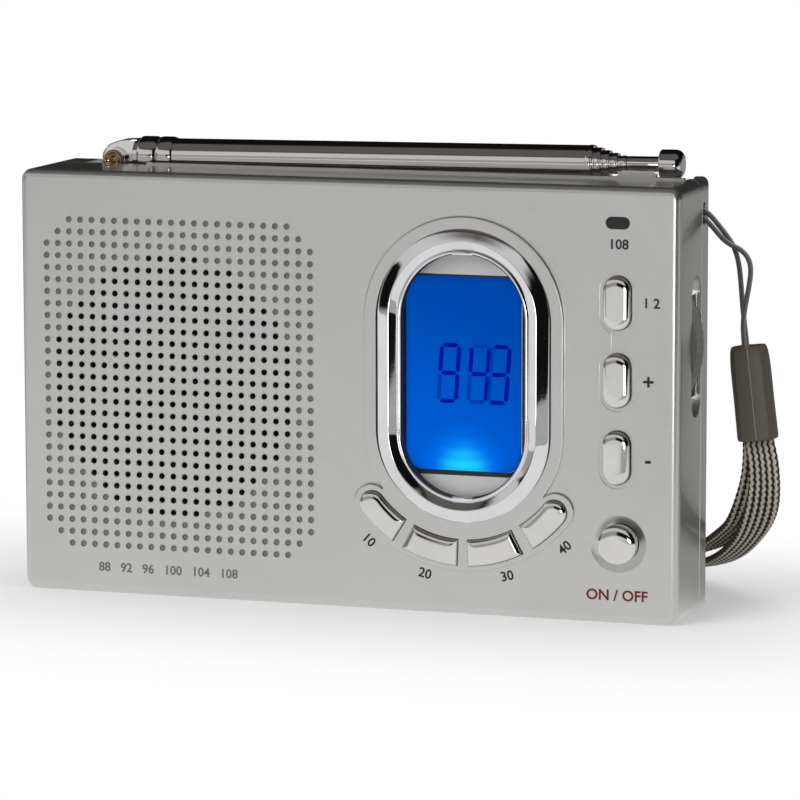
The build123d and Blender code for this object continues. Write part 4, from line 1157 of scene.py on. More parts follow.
    def door_ribs(self) -> bpy.types.Object:
        """Set fine grip ribs across the lower part of the battery door.

        Returns:
            The object.
        """
        low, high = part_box("battery_door")
        middle = (low[0] + high[0]) / 2 / MM
        foot = low[2] / MM + self.rib_foot
        length, rise, width = self.rib_size
        tree = Repeat("door_ribs", {"Length": length * MM, "Rise": rise * MM, "Width": width * MM})
        rib = tree.bar(tree.given["Length"], tree.given["Rise"], tree.given["Width"])
        spots = [mm(middle, high[1] / MM, foot + self.rib_pitch * n) for n in range(self.rib_count)]
        return tree.piece("door_ribs", tree.set_on(tree.spots, rib), Finish.CASE, spots)

    def print_mark(self, name: str, mark: Mark) -> None:
        """Print one mark on the face.

        Args:
            name: the piece's name.
            mark: what it says and where.
        """
        words = bpy.data.curves.new(name, "FONT")
        words.body = mark.text
        words.align_x = "CENTER"
        words.align_y = "CENTER"
        words.size = self.mark_size * mark.scale * MM
        words.extrude = self.mark_thick * MM
        words.offset = self.mark_bold * mark.scale * MM
        words.resolution_u = self.mark_steps
        loose = new_object(name + "_words", words)
        mesh = plain_mesh(loose)
        bpy.data.objects.remove(loose)
        place = Matrix.Translation(mm(mark.x, self.front_y - self.mark_lift, mark.z))
        turned = Matrix.Rotation(math.radians(-mark.turn), 4, "Y") @ Matrix.Rotation(QUARTER, 4, "X")
        mesh.transform(place @ turned)
        mesh.materials.clear()
        mesh.materials.append(Paint.get(mark.ink))
        made = new_object(name, mesh)
        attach(made, "case")


# ------------------------------------------------------------------ display
@dataclass
class Display:
    """Chrome ring, window, silver mask, lit panel and its figures. Sizes are in millimetres."""

    centre: Point2 = (24.6, 46.75)
    straight: float = 11.3
    front_y: float = -12.2
    panel_y: float = -9.82
    inner: float = 12.45
    steps: int = 40
    profile: tuple[Point2, ...] = (
        (0.3, 1.0), (0.05, 0.8), (0.0, -0.72), (0.06, -0.92), (0.2, -1.08), (0.4, -1.15), (0.6, -1.09),
        (0.76, -0.96), (0.86, -0.86), (0.93, -0.92), (1.2, -1.08), (1.7, -1.37), (2.15, -1.62),
        (2.28, -1.69), (2.38, -1.73), (2.48, -1.73), (2.6, -1.69), (3.4, -1.36), (4.2, -1.03),
        (4.66, -0.84), (4.8, -0.76), (4.9, -0.64), (4.95, -0.4), (4.95, 0.85),
    )
    tab_size: Point = (4.2, 0.9, 0.8)
    tab_lift: float = 0.75
    tab_out: float = 0.15
    tab_round: float = 0.16
    lit_at: Point2 = (23.85, 46.86)
    lit_half: Point2 = (11.85, 19.0)
    lit_corner: float = 3.4
    corner_steps: int = 8
    edge_outer: tuple[float, ...] = (0.95, 0.6, 0.85, 0.35)
    edge_inner: tuple[float, ...] = (-0.2, 0.1, 0.0, -0.05)
    edge_lift: float = 0.03
    wall_shade_in: float = 0.03
    wall_shade_rises: Point2 = (-0.92, 0.9)
    groove: Point2 = (4.9, 5.3)
    groove_lift: float = 0.3
    figures: str = "943"
    figure_at: tuple[float, ...] = (20.85, 26.9, 31.0)
    figure_up: float = 46.9
    figure_size: Point2 = (3.5, 10.9)
    figure_slant: float = 0.07
    figure_lifts: Point2 = (0.02, 0.06)
    bar_half: float = 0.42
    bar_gap: float = 0.16

    def build(self) -> None:
        """Make the ring, its two tabs and the figures, and dress the rest."""
        dress(["display_window"], Finish.WINDOW)
        dress(["display_mask"], Finish.MASK)
        dress(["lcd_panel"], Finish.DISPLAY)
        dress(["backlight"], Finish.DIFFUSER)
        ring = self.ring()
        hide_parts("display_ring")
        for bright in (ring, self.tab("ring_tab_0", -1), self.tab("ring_tab_1", 1)):
            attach(bright, "case")
        # The groove strip and the wall strip are painted shade.
        for dark in (self.border(), self.shadow_line(), self.wall_shade()):
            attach(dark, "case")
        self.digits()

    def outline(self, grow: float) -> list[Point2]:
        """Points round the ring's opening, grown by that much."""
        return oval(*self.centre, self.inner + grow, self.straight, self.steps)

    def hoop(self, name: str, rows: Sequence[Point2], finish: Finish,
             closed: bool = False) -> bpy.types.Object:
        """Make a piece that goes round the opening.

        Args:
            name: the piece's name.
            rows: how far each row of points is outside the opening, and behind the case's front.
            finish: what it is made of.
            closed: whether the last row meets the first.

        Returns:
            The object.
        """
        verts = [mm(x, self.front_y + rise, z) for grow, rise in rows for x, z in self.outline(grow)]
        return new_piece(name, verts, bands(len(rows), len(verts) // len(rows), closed=closed), finish)

    def ring(self) -> bpy.types.Object:
        """The chrome ring, its section swept round the opening."""
        return self.hoop("display_bezel", self.profile, Finish.CHROME, True)

    def wall_shade(self) -> bpy.types.Object:
        """Painted shade: a dark strip on the wall of the ring's opening."""
        return self.hoop("ring_liner", [(-self.wall_shade_in, rise) for rise in self.wall_shade_rises], Finish.GAP)

    def shadow_line(self) -> bpy.types.Object:
        """Dark strip of painted shade in the groove round the ring."""
        return self.hoop("ring_groove", [(grow, -self.groove_lift) for grow in self.groove], Finish.GAP)

    def tab(self, name: str, up: int) -> bpy.types.Object:
        """Make a small chrome tab on the ring's inner bead.

        Args:
            name: the piece's name.
            up: 1 for the top of the opening, -1 for the bottom.

        Returns:
            The object.
        """
        z = self.centre[1] + up * (self.straight + self.inner + self.tab_out)
        place = Matrix.Translation(mm(self.centre[0], self.front_y - self.tab_lift, z))
        place = place @ Matrix.Diagonal((*mm(*self.tab_size), 1))
        build = bmesh.new()
        bmesh.ops.create_cube(build, size=1.0)
        bmesh.ops.transform(build, matrix=place, verts=build.verts)
        bmesh.ops.bevel(build, geom=build.edges[:], offset=self.tab_round * MM, segments=3, affect="EDGES",
                        profile=0.5)
        mesh = bpy.data.meshes.new(name)
        build.to_mesh(mesh)
        build.free()
        mesh.shade_smooth()
        mesh.materials.append(Paint.get(Finish.CHROME))
        return new_object(name, mesh)

    def rounded(self, grow: Sequence[float], y: float) -> list[Vector]:
        """Find points round the lit area, whose corners are rounded.

        Args:
            grow: how far outside it they are at the left, the right, the foot and the top.
            y: their depth.

        Returns:
            The points, in metres.
        """
        left, right, low, high = grow
        points = []
        for corner, (sx, sz) in enumerate(((1, 1), (-1, 1), (-1, -1), (1, -1))):
            x = self.lit_at[0] + sx * (self.lit_half[0] - self.lit_corner) + (right if sx > 0 else -left)
            z = self.lit_at[1] + sz * (self.lit_half[1] - self.lit_corner) + (high if sz > 0 else -low)
            points += [mm(x + self.lit_corner * out, y, z + self.lit_corner * up)
                       for out, up in arc(90 * corner, 90, self.corner_steps)]
        return points

    def border(self) -> bpy.types.Object:
        """Make the dark edge round the lit area, from the mask's front back to the panel.

        Returns:
            The object.
        """
        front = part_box("display_mask")[0][1] / MM - self.edge_lift
        rows = [self.rounded(self.edge_outer, front), self.rounded(self.edge_inner, front),
                self.rounded(self.edge_inner, self.panel_y - self.figure_lifts[0])]
        faces = bands(len(rows), len(rows[0]))
        return new_piece("display_edge", [spot for row in rows for spot in row], faces, Finish.GAP)

    def digits(self) -> None:
        """Plain seven-bar figures, lit bars dark and the rest faint."""
        shapes = {"9": "abcdfg", "4": "bcfg", "3": "abcdg"}
        bars: dict[bool, tuple[list[Vector], list[Face]]] = {True: ([], []), False: ([], [])}
        for place, figure in zip(self.figure_at, self.figures):
            for bar in "abcdefg":
                verts, faces = bars[bar in shapes[figure]]
                outline, first = self.bar(bar), len(verts)
                count = len(outline)
                verts += [mm(place + x + z * self.figure_slant, self.panel_y - lift, self.figure_up + z)
                          for lift in self.figure_lifts for x, z in outline]
                faces += [cap(first, count), cap(first + count, count), *bands(2, count, first)]
        for lit, (verts, faces) in bars.items():
            name, finish = ("figures", Finish.SEGMENT) if lit else ("figures_faint", Finish.FAINT)
            made = new_piece(name, verts, faces, finish, False)
            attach(made, "case")

    def bar(self, name: str) -> list[Point2]:
        """Find the outline of one bar of a figure.

        Args:
            name: the bar's letter, from a at the top to g in the middle.

        Returns:
            Its six corners about the figure's middle.
        """
        flat = name in "adg"
        aside = {"b": 1, "c": 1, "e": -1, "f": -1}.get(name, 0)
        rise = {"a": 2, "b": 1, "c": -1, "d": -2, "e": -1, "f": 1, "g": 0}[name]
        x, z = aside * self.figure_size[0] / 2, rise * self.figure_size[1] / 4
        end = (self.figure_size[0] / 2 if flat else self.figure_size[1] / 4) - self.bar_gap
        half = self.bar_half
        corners = [(-end, 0.0), (half - end, half), (end - half, half), (end, 0.0), (end - half, -half),
                   (half - end, -half)]
        return [(x + long, z + wide) if flat else (x + wide, z + long) for long, wide in corners]


# ------------------------------------------------------------------ strap
@dataclass
class Strap:
    """Thin cords from the case, the bead, and the band of cords side by side. Sizes are in millimetres."""

    cord_radius: float = 0.52
    cord_sides: int = 12
    cord_steps: int = 8
    upper: tuple[Point, ...] = (
        (64.9, 5.8, 78.9), (66.6, 5.8, 78.8), (68.3, 6.2, 77.8), (70.4, 7.0, 75.1), (72.3, 7.8, 72.4),
        (73.2, 8.1, 70.5), (73.9, 8.2, 67.8), (74.3, 8.2, 64.1), (74.6, 8.2, 60.4), (75.0, 8.2, 56.7),
        (75.5, 8.2, 53.0), (75.8, 8.2, 49.6),
    )
    lower: tuple[Point, ...] = (
        (64.9, 5.8, 77.3), (66.6, 5.8, 77.3), (67.7, 5.9, 76.7), (69.1, 6.1, 75.2), (71.1, 6.4, 72.8),
        (72.8, 6.5, 71.7), (74.5, 6.6, 71.0), (76.0, 6.8, 69.5), (76.6, 6.9, 67.3), (76.3, 6.9, 64.3),
        (75.6, 6.9, 60.6), (75.2, 6.9, 58.0), (75.1, 6.9, 55.6), (75.3, 6.9, 53.2), (75.6, 6.9, 49.6),
    )
    bead_top: Point = (75.9, 7.5, 52.2)
    bead_bottom: Point = (78.0, 7.5, 34.0)
    bead_section: tuple[Point2, ...] = (
        (-2.2, 2.8), (-3.3, 1.7), (-3.7, 0.3), (-3.62, -1.0), (-3.2, -2.0), (-2.9, -2.3), (-2.3, -2.75),
        (0.6, -3.15), (3.0, -2.5), (3.6, -1.9), (3.95, -0.5), (4.0, 0.8), (3.6, 2.0), (2.4, 2.8),
    )
    bead_sizes: tuple[Point2, ...] = (
        (0.0, 0.83), (0.012, 0.88), (0.05, 0.935), (0.12, 0.97), (0.22, 0.995), (0.4, 1.0), (0.6, 1.0),
        (0.8, 1.01), (0.97, 1.02), (0.993, 1.0), (1.0, 0.96), (1.0, 0.86), (0.985, 0.84), (0.6, 0.8),
        (0.3, 0.5), (0.1, 0.68), (0.01, 0.72), (0.0, 0.75),
    )
    bead_sharp: float = 24.0
    seam_at: Point2 = (0.6, -3.15)
    seam_radius: float = 0.13
    seam_sides: int = 8
    seam_rows: tuple[int, int] = (1, 10)
    band_radius: float = 0.68
    band_step: float = 1.26
    band_count: int = 5
    band_sides: int = 10
    band_steps: int = 28
    band_steep: Point2 = (0.55, 0.90)
    band_upright: float = 0.05
    yarn_pitch: float = 1.35
    yarn_swell: float = 0.075
    pinch: float = 0.84
    spread: float = 18.0
    table: float = 0.05
    band_route: tuple[Point, ...] = (
        (77.8, 7.2, 39.0), (78.3, 7.2, 34.3), (79.4, 7.5, 29.4), (79.2, 9.2, 22.5), (77.0, 12.6, 16.9),
        (73.8, 17.5, 12.5), (68.7, 24.5, 7.8), (61.8, 33.0, 4.2), (52.5, 39.6, 1.7), (42.0, 43.4, 0.8),
        (30.0, 45.6, 0.75), (16.0, 46.3, 0.75), (3.0, 45.8, 0.75), (-12.0, 44.6, 0.75),
        (-22.6, 41.0, 0.75), (-25.4, 35.0, 0.75), (-20.0, 30.4, 0.75), (-8.0, 29.4, 0.75),
        (6.0, 30.6, 0.75), (20.0, 32.2, 0.8), (33.0, 33.4, 1.3), (45.0, 33.8, 3.0), (55.5, 32.6, 5.6),
        (63.2, 28.0, 8.6), (68.0, 22.0, 12.0), (73.2, 15.4, 16.4), (76.2, 11.6, 21.6), (77.6, 9.7, 27.2),
        (77.7, 9.0, 33.6), (77.3, 8.6, 39.0),
    )

    def build(self) -> None:
        bead = self.bead()
        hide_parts("strap_bead")
        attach(bead, "case")
        self.thin_cords()
        self.band()

    def thin_cords(self) -> None:
        """The two runs of thin cord between the case and the bead."""
        for n, route in enumerate((self.upper, self.lower)):
            line = spline_line(route, self.cord_steps)
            tube = Tube(self.cord_sides)
            tube.add(line, [Vector((0, 1, 0))] * len(line), self.cord_radius * MM)
            cord = tube.piece(f"strap_run_{n}", Finish.CORD)
            if n == 0:
                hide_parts("strap_cord")
            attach(cord, "case")
            travelled(line)[-1]

    def band(self) -> None:
        """The wrist band, pinched where it enters the bead and never below the table."""
        line = spline_line(self.band_route, self.band_steps)
        length = travelled(line)
        total, across = length[-1], self.band_sides_on(line, length)
        ends = [min(run, total - run) / (self.spread * MM) for run in length]
        pinch = [min(1.0, self.pinch + (1 - self.pinch) * away) for away in ends]
        tube = Tube(self.band_sides)
        for k in range(self.band_count):
            shift = (k - (self.band_count - 1) / 2) * self.band_step * MM
            beside = [p + side * shift * share for p, side, share in zip(line, across, pinch)]
            tube.add(beside, across, self.band_radius * MM, self.yarn_pitch, self.yarn_swell)
        for vert in tube.verts:
            vert.z = max(vert.z, self.table * MM)
        band = tube.piece("braided_band", Finish.BAND)
        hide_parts("wrist_band")
        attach(band, "case")

    def band_sides_on(self, line: Sequence[Vector], length: Sequence[float]) -> list[Vector]:
        """Find the way across the band: left to right where it climbs, and level where it lies on the table.

        Args:
            line: samples of its middle line.
            length: the distance to each of them.

        Returns:
            A direction at each sample, without a sudden turn.
        """
        across: list[Vector] = []
        start, full = self.band_steep
        for n, run in enumerate(length):
            way = heading(line, n)
            wide = squared(Vector((1, 0, 0)) * (1 if run < length[-1] / 2 else -1), way)
            steep = min(1.0, max(0.0, (abs(way.z) - start) / (full - start)))
            flat = way.cross(Vector((0, 0, 1)))
            side = flat.normalized().lerp(wide, steep) if flat.length > self.band_upright else wide
            side = squared(side, way)
            across.append(-side if across and side.dot(across[-1]) < 0 else side)
        return across

    def bead(self) -> bpy.types.Object:
        """Make the tapered bead, hollow at both ends, and the seam down its front, whose pale colour is a
        painted highlight.

        Returns:
            The bead's object.
        """
        top, bottom = mm(*self.bead_top), mm(*self.bead_bottom)
        axis = (bottom - top).normalized()
        right = squared(Vector((1, 0, 0)), axis)
        back = right.cross(axis)
        verts = [top.lerp(bottom, share) + (right * x + back * y) * size * MM
                 for share, size in self.bead_sizes for x, y in self.bead_section]
        x, y = self.seam_at
        ridge = [top.lerp(bottom, share) + (right * x + back * y) * size * MM
                 for share, size in self.bead_sizes[slice(*self.seam_rows)]]
        line = Tube(self.seam_sides)
        line.add(ridge, [right] * len(ridge), self.seam_radius * MM)
        seam = line.piece("bead_seam", Finish.SEAM)
        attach(seam, "case")
        faces = bands(len(self.bead_sizes), len(self.bead_section), closed=True)
        made = new_piece("bead", verts, faces, Finish.BEAD)
        made.data.set_sharp_from_angle(angle=math.radians(self.bead_sharp))
        return made


# ------------------------------------------------------------------ hardware and insides
@dataclass
class Hardware:
    """Keys, aerial, wheel and everything that keeps its CAD shape. Sizes are in millimetres."""

    finishes: dict[Finish, tuple[str, ...]] = field(default_factory=lambda: {
        Finish.KEY: ("memory_button", "channel_up_button", "channel_down_button", "lock_button",
                     "band_button", "tune_up_button", "tune_down_button", "power_button"),
        Finish.AERIAL: ("aerial_knuckle", "aerial_tube_1", "aerial_tube_2", "aerial_tube_3", "aerial_tube_4",
                        "aerial_tube_5", "aerial_rod", "aerial_knob"),
        Finish.CHROME: ("aerial_yoke", "display_ring"),
        Finish.BRASS: ("aerial_rivet",),
        Finish.SMOKE: ("tuning_lens",),
        Finish.LAMP: ("tuning_lamp",),
        Finish.WHEEL: ("volume_wheel",),
        Finish.STEEL: ("speaker_basket",),
        Finish.CONE: ("speaker_cone",),
        Finish.MAGNET: ("speaker_magnet",),
        Finish.FERRITE: ("ferrite_rod",),
        Finish.COPPER: ("ferrite_coil",),
        Finish.BOARD: ("main_board", "socket_board"),
        Finish.BLACK: ("key_switches", "board_parts", "ferrite_clips", "phone_socket", "power_socket"),
        Finish.CELL: ("battery_cell_lower", "battery_cell_upper"),
        Finish.ZINC: ("board_screws", "speaker_screws", "case_screws", "strap_pin", "battery_contacts",
                      "battery_springs", "aerial_clip", "volume_control"),
        Finish.CORD: ("strap_cord",),
        Finish.BAND: ("wrist_band",),
        Finish.BEAD: ("strap_bead",),
    })

    arc_centre: Point2 = (24.6, 35.95)
    arc_radii: Point2 = (21.2, 26.2)
    arc_keys: dict[str, tuple[float, float, int]] = field(default_factory=lambda: {
        "memory_button": (-57.0, -33.0, -1), "channel_up_button": (-27.5, -2.6, 0),
        "channel_down_button": (2.6, 27.5, 0), "lock_button": (33.0, 57.0, 1)})
    column_keys: dict[str, float] = field(default_factory=lambda: {
        "band_button": 62.0, "tune_up_button": 47.1, "tune_down_button": 32.2})
    column_x: float = 55.2
    column_half: Point2 = (2.65, 2.5)
    power_at: Point2 = (55.6, 15.55)
    power_radius: float = 3.9
    arc_crown: Point2 = (2.4, 0.95)
    column_crown: Point2 = (2.6, 0.95)
    power_crown: Point2 = (3.85, 1.12)
    crown_skirt: float = 0.62
    crown_power: float = 3.0
    crown_rows: int = 14
    crown_last: float = 0.995
    crown_over: float = 0.02
    long_steps: int = 16
    cap_steps: int = 12
    gap_depth: float = 0.86
    gap_insets: Point2 = (-0.03, -0.14)
    wheel_at: Point = (50.3, 0.35, 52.6)
    wheel_radius: float = 18.0
    grip_count: int = 150
    grip_width: float = 5.4
    grip_rib: Point2 = (0.14, 0.36)
    grip_rib_in: float = 0.07
    grip_sleeve: float = 0.3
    grip_sleeve_in: float = 0.22
    pivot: Point = (-54.5, 8.6, 84.9)
    aerial_tilt: float = 0.6
    axis_rise: float = 0.7
    around: int = 48
    tongue_half: float = 1.7
    tongue_middle: Point2 = (1.0, 0.5)
    tongue_rows: tuple[Point2, ...] = (
        (-1.0, 0.88), (-1.0, 0.94), (-0.9, 1.0), (0.9, 1.0), (1.0, 0.94), (1.0, 0.88),
    )
    tongue: tuple[Point2, ...] = (
        (-3.05, 0.5), (-2.9, 1.2), (-2.5, 1.95), (-1.9, 2.6), (-1.3, 3.0), (-0.6, 3.3), (0.3, 3.62),
        (1.4, 3.92), (4.7, 4.1), (4.7, -2.8), (0.0, -3.1), (-1.1, -2.9), (-2.1, -2.28), (-2.8, -1.35),
        (-3.08, -0.3),
    )
    collar: tuple[Point2, ...] = (
        (4.0, 3.3), (4.1, 3.42), (4.95, 3.45), (5.05, 3.62), (5.3, 3.82), (5.7, 3.9), (8.1, 3.88),
        (8.55, 3.78), (8.8, 3.6), (8.95, 3.5), (9.1, 3.62), (9.4, 3.8), (9.8, 3.86), (11.6, 3.85),
        (12.1, 3.76), (12.4, 3.62), (12.5, 3.52), (12.5, 3.4),
    )
    tube_radii: tuple[float, ...] = (3.5, 3.0, 2.5, 2.0, 1.5)
    tube_ends: tuple[float, ...] = (99.4, 101.0, 102.6, 104.2, 106.0)
    lip: tuple[Point2, ...] = (
        (-1.2, -0.02), (-1.1, 0.03), (-0.9, 0.07), (-0.65, 0.09), (-0.4, 0.07), (-0.2, 0.0),
        (-0.05, -0.12), (0.02, -0.25), (0.02, -0.38),
    )
    rivet_sides: int = 40
    rivet_section: tuple[Point2, ...] = (
        (1.95, 0.01), (1.93, 0.16), (1.84, 0.27), (1.7, 0.3), (1.55, 0.26), (1.35, 0.16), (1.1, 0.07),
        (0.85, 0.01),
    )
    ferrule: tuple[Point2, ...] = (
        (106.06, 1.02), (106.06, 1.35), (106.2, 1.5), (112.3, 1.5), (112.5, 1.4), (112.55, 1.02),
    )

    def build(self) -> None:
        """Dress every node, crown the keys, and make the aerial's trim and the wheel's grip."""
        for finish, nodes in self.finishes.items():
            dress(nodes, finish)
        flat_keys = self.flat_keys()
        for name, outline in flat_keys.items():
            self.crown(name, outline, *(self.arc_crown if name in self.arc_keys else self.column_crown))
        power = self.slot_outline(*self.power_at, self.power_radius, 0.0)
        self.crown("power_button", power, *self.power_crown)
        grip = self.wheel_grip()
        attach(grip, "volume_wheel")
        knuckle = self.knuckle()
        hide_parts("aerial_knuckle")
        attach(knuckle, "aerial_outer")
        cup = self.rivet_cup()
        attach(cup, "aerial_base")
        gaps = self.key_gaps(flat_keys)
        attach(gaps, "case")
        ferrule = self.sleeve("aerial_ferrule", self.ferrule)
        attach(ferrule, "aerial_tip")
        for number, (radius, end) in enumerate(zip(self.tube_radii, self.tube_ends), 1):
            stations = [(end + along, radius + swell) for along, swell in self.lip]
            lip = self.sleeve(f"aerial_lip_{number}", stations)
            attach(lip, "aerial_outer" if number == 1 else f"aerial_stage_{number}")

    def on_axis(self, along: float, aside: float, up: float) -> Vector:
        """Find a point beside the aerial.

        Args:
            along: distance from the pivot along the aerial.
            aside: distance to the back.
            up: distance square to both, from the pivot's height.

        Returns:
            The point, in metres.
        """
        lean = math.radians(self.aerial_tilt)
        ahead, above = (math.cos(lean), math.sin(lean)), (-math.sin(lean), math.cos(lean))
        x, y, z = self.pivot
        return mm(x + ahead[0] * along + above[0] * up, y + aside, z + ahead[1] * along + above[1] * up)

    def turned(self, stations: Sequence[Point2]) -> list[Vector]:
        """Find the points of a form turned about the aerial's axis.

        Args:
            stations: distance from the pivot and radius of each row of points.

        Returns:
            The points, in metres, row by row.
        """
        return [self.on_axis(along, radius * out, self.axis_rise + radius * up)
                for along, radius in stations for out, up in circle(self.around)]

    def sleeve(self, name: str, stations: Sequence[Point2]) -> bpy.types.Object:
        """A piece turned about the aerial's axis, open at its ends."""
        return new_piece(name, self.turned(stations), bands(len(stations), self.around), Finish.AERIAL)

    def knuckle(self) -> bpy.types.Object:
        """Make the tongue that the aerial folds on, with its two swelling collars.

        Returns:
            The object.
        """
        x, z = self.tongue_middle
        verts = [self.on_axis(x + (along - x) * size, side * self.tongue_half, z + (up - z) * size)
                 for side, size in self.tongue_rows for along, up in self.tongue]
        count, rows, first = len(self.tongue), len(self.tongue_rows), len(verts)
        faces = [*bands(rows, count), cap(0, count), cap(first - count, count)]
        verts += self.turned(self.collar)
        faces += bands(len(self.collar), self.around, first)
        faces += [cap(first, self.around), cap(len(verts) - self.around, self.around)]
        return new_piece("knuckle", verts, faces, Finish.AERIAL)

    def rivet_cup(self) -> bpy.types.Object:
        """Make the rolled, hollow face of the rivet that the aerial folds on.

        Returns:
            The object.
        """
        low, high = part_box("aerial_rivet")
        x, z = (low[0] + high[0]) / 2, (low[2] + high[2]) / 2
        verts = [(x + radius * MM * out, low[1] - rise * MM, z + radius * MM * up)
                 for radius, rise in self.rivet_section for out, up in circle(self.rivet_sides)]
        return new_piece("rivet_cup", verts, bands(len(self.rivet_section), self.rivet_sides), Finish.BRASS)

    def flat_keys(self) -> dict[str, Outline]:
        """Find the outlines of the keys that stand in plain holes of the face.

        Returns:
            The outline of each, by its node's name.
        """
        curved = {name: self.arc_outline(name) for name in self.arc_keys}
        upright = {name: self.slot_outline(self.column_x, z, *self.column_half)
                   for name, z in self.column_keys.items()}
        return curved | upright

    def key_gaps(self, keys: dict[str, Outline]) -> bpy.types.Object:
        """Make the dark strip of painted shade in the gap round every key.

        Args:
            keys: the outline of each of them.

        Returns:
            The object.
        """
        verts: list[Vector] = []
        faces: list[Face] = []
        for name, outline in keys.items():
            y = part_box(name)[0][1] / MM + self.gap_depth
            faces += bands(2, len(outline(0.0)), len(verts))
            verts += [mm(x, y, z) for inset in self.gap_insets for x, z in outline(inset)]
        return new_piece("key_gaps", verts, faces, Finish.GAP, False)

    def slot_outline(self, x: float, z: float, radius: float, straight: float) -> Outline:
        """The outline of an upright oval key, moved in by a given distance."""
        return lambda inset: oval(x, z, radius - inset, straight, self.long_steps)

    def arc_outline(self, name: str) -> Outline:
        """The outline of a curved key, moved in by a given distance.

        Args:
            name: the key's node.

        Returns:
            A function that gives the points for an inset.
        """
        start, end, rounded = self.arc_keys[name]
        inner, outer = self.arc_radii
        middle, half = (inner + outer) / 2, (outer - inner) / 2

        def spot(angle: float, radius: float) -> Point2:
            """The point at that radius, that many degrees off straight down."""
            turn = math.radians(angle)
            return self.arc_centre[0] + radius * math.sin(turn), self.arc_centre[1] - radius * math.cos(turn)

        def side(near: float, far: float, radius: float) -> list[Point2]:
            """Points along a long side."""
            steps = self.long_steps
            return [spot(near + (far - near) * k / steps, radius) for k in range(steps + 1)]

        def over_end(angle: float, reach: float, way: int) -> list[Point2]:
            """Find points over an end of the key.

            Args:
                angle: where the end begins, in degrees off straight down.
                reach: half its width.
                way: 1 for the right end, -1 for the left one; it is round if rounded is the same.

            Returns:
                The points between its two corners.
            """
            swell = reach if rounded == way else 0.0
            turns = [math.radians(180 * k / self.cap_steps) for k in range(1, self.cap_steps)]
            return [spot(angle + way * math.degrees(swell * math.sin(turn) / middle),
                         middle + way * reach * math.cos(turn)) for turn in turns]

        def outline(inset: float) -> list[Point2]:
            """Find points round the key.

            Args:
                inset: how far inside its edge they are.

            Returns:
                The points.
            """
            round_back, flat_back = math.degrees(half / middle), math.degrees(inset / middle)
            low = start + (round_back if rounded < 0 else flat_back)
            high = end - (round_back if rounded > 0 else flat_back)
            return [*side(low, high, outer - inset), *over_end(high, half - inset, 1),
                    *side(high, low, inner + inset), *over_end(low, half - inset, -1)]

        return outline

    def crown(self, key: str, outline: Outline, depth: float, height: float) -> None:
        """Set a pillow-shaped top over a key's front.

        Args:
            key: the key's node and body.
            outline: its outline at a given inset.
            depth: how far the pillow's slope goes in from the edge.
            height: from the pillow's edge to its middle.
        """
        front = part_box(key)[0][1] / MM + self.crown_skirt
        shares = [1 - math.cos(QUARTER * k / self.crown_rows) for k in range(self.crown_rows)]
        shares.append(self.crown_last)
        verts: list[Vector] = []
        for share in shares:
            rise = height * (1.0 - (1.0 - share) ** self.crown_power) ** (1.0 / self.crown_power)
            verts += [mm(x, front - rise, z) for x, z in outline(depth * share - self.crown_over)]
        count = len(verts) // len(shares)
        faces = [*bands(len(shares), count), cap(len(verts) - count, count)]
        made = new_piece(key.replace("_button", "_crown"), verts, faces, Finish.KEY)
        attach(made, key)

    def wheel_grip(self) -> bpy.types.Object:
        """Make a band of fine ribs round the thumb wheel.

        Returns:
            The object.
        """
        sizes = {"Ribs": self.grip_count, "Radius": self.wheel_radius * MM, "Width": self.grip_width * MM}
        tree = Repeat("wheel_grip", sizes)
        width, radius = tree.given["Width"], tree.given["Radius"]
        inputs = {"Width": self.grip_sleeve * MM, "Height": width}
        section = tree.node("GeometryNodeCurvePrimitiveQuadrilateral", None, inputs)[0]
        sleeve = tree.swept(tree.ring(self.grip_count, radius - self.grip_sleeve_in * MM), section)
        inputs = {"Vertices": tree.given["Ribs"], "Radius": radius - self.grip_rib_in * MM}
        spots = tree.node("GeometryNodeMeshCircle", None, inputs)[0]
        outward = tree.node("GeometryNodeInputPosition")[0]
        turn = tree.node("FunctionNodeAlignRotationToVector", {"axis": "X"}, {"Vector": outward})[0]
        rib = tree.bar(self.grip_rib[0] * MM, self.grip_rib[1] * MM, width)
        whole = tree.joined(sleeve, tree.set_on(spots, rib, turn))
        upright = tree.moved(whole, tuple(mm(*self.wheel_at)), (QUARTER, 0.0, 0.0))
        return tree.piece("wheel_grip", upright, Finish.WHEEL, [Vector((0, 0, 0))])


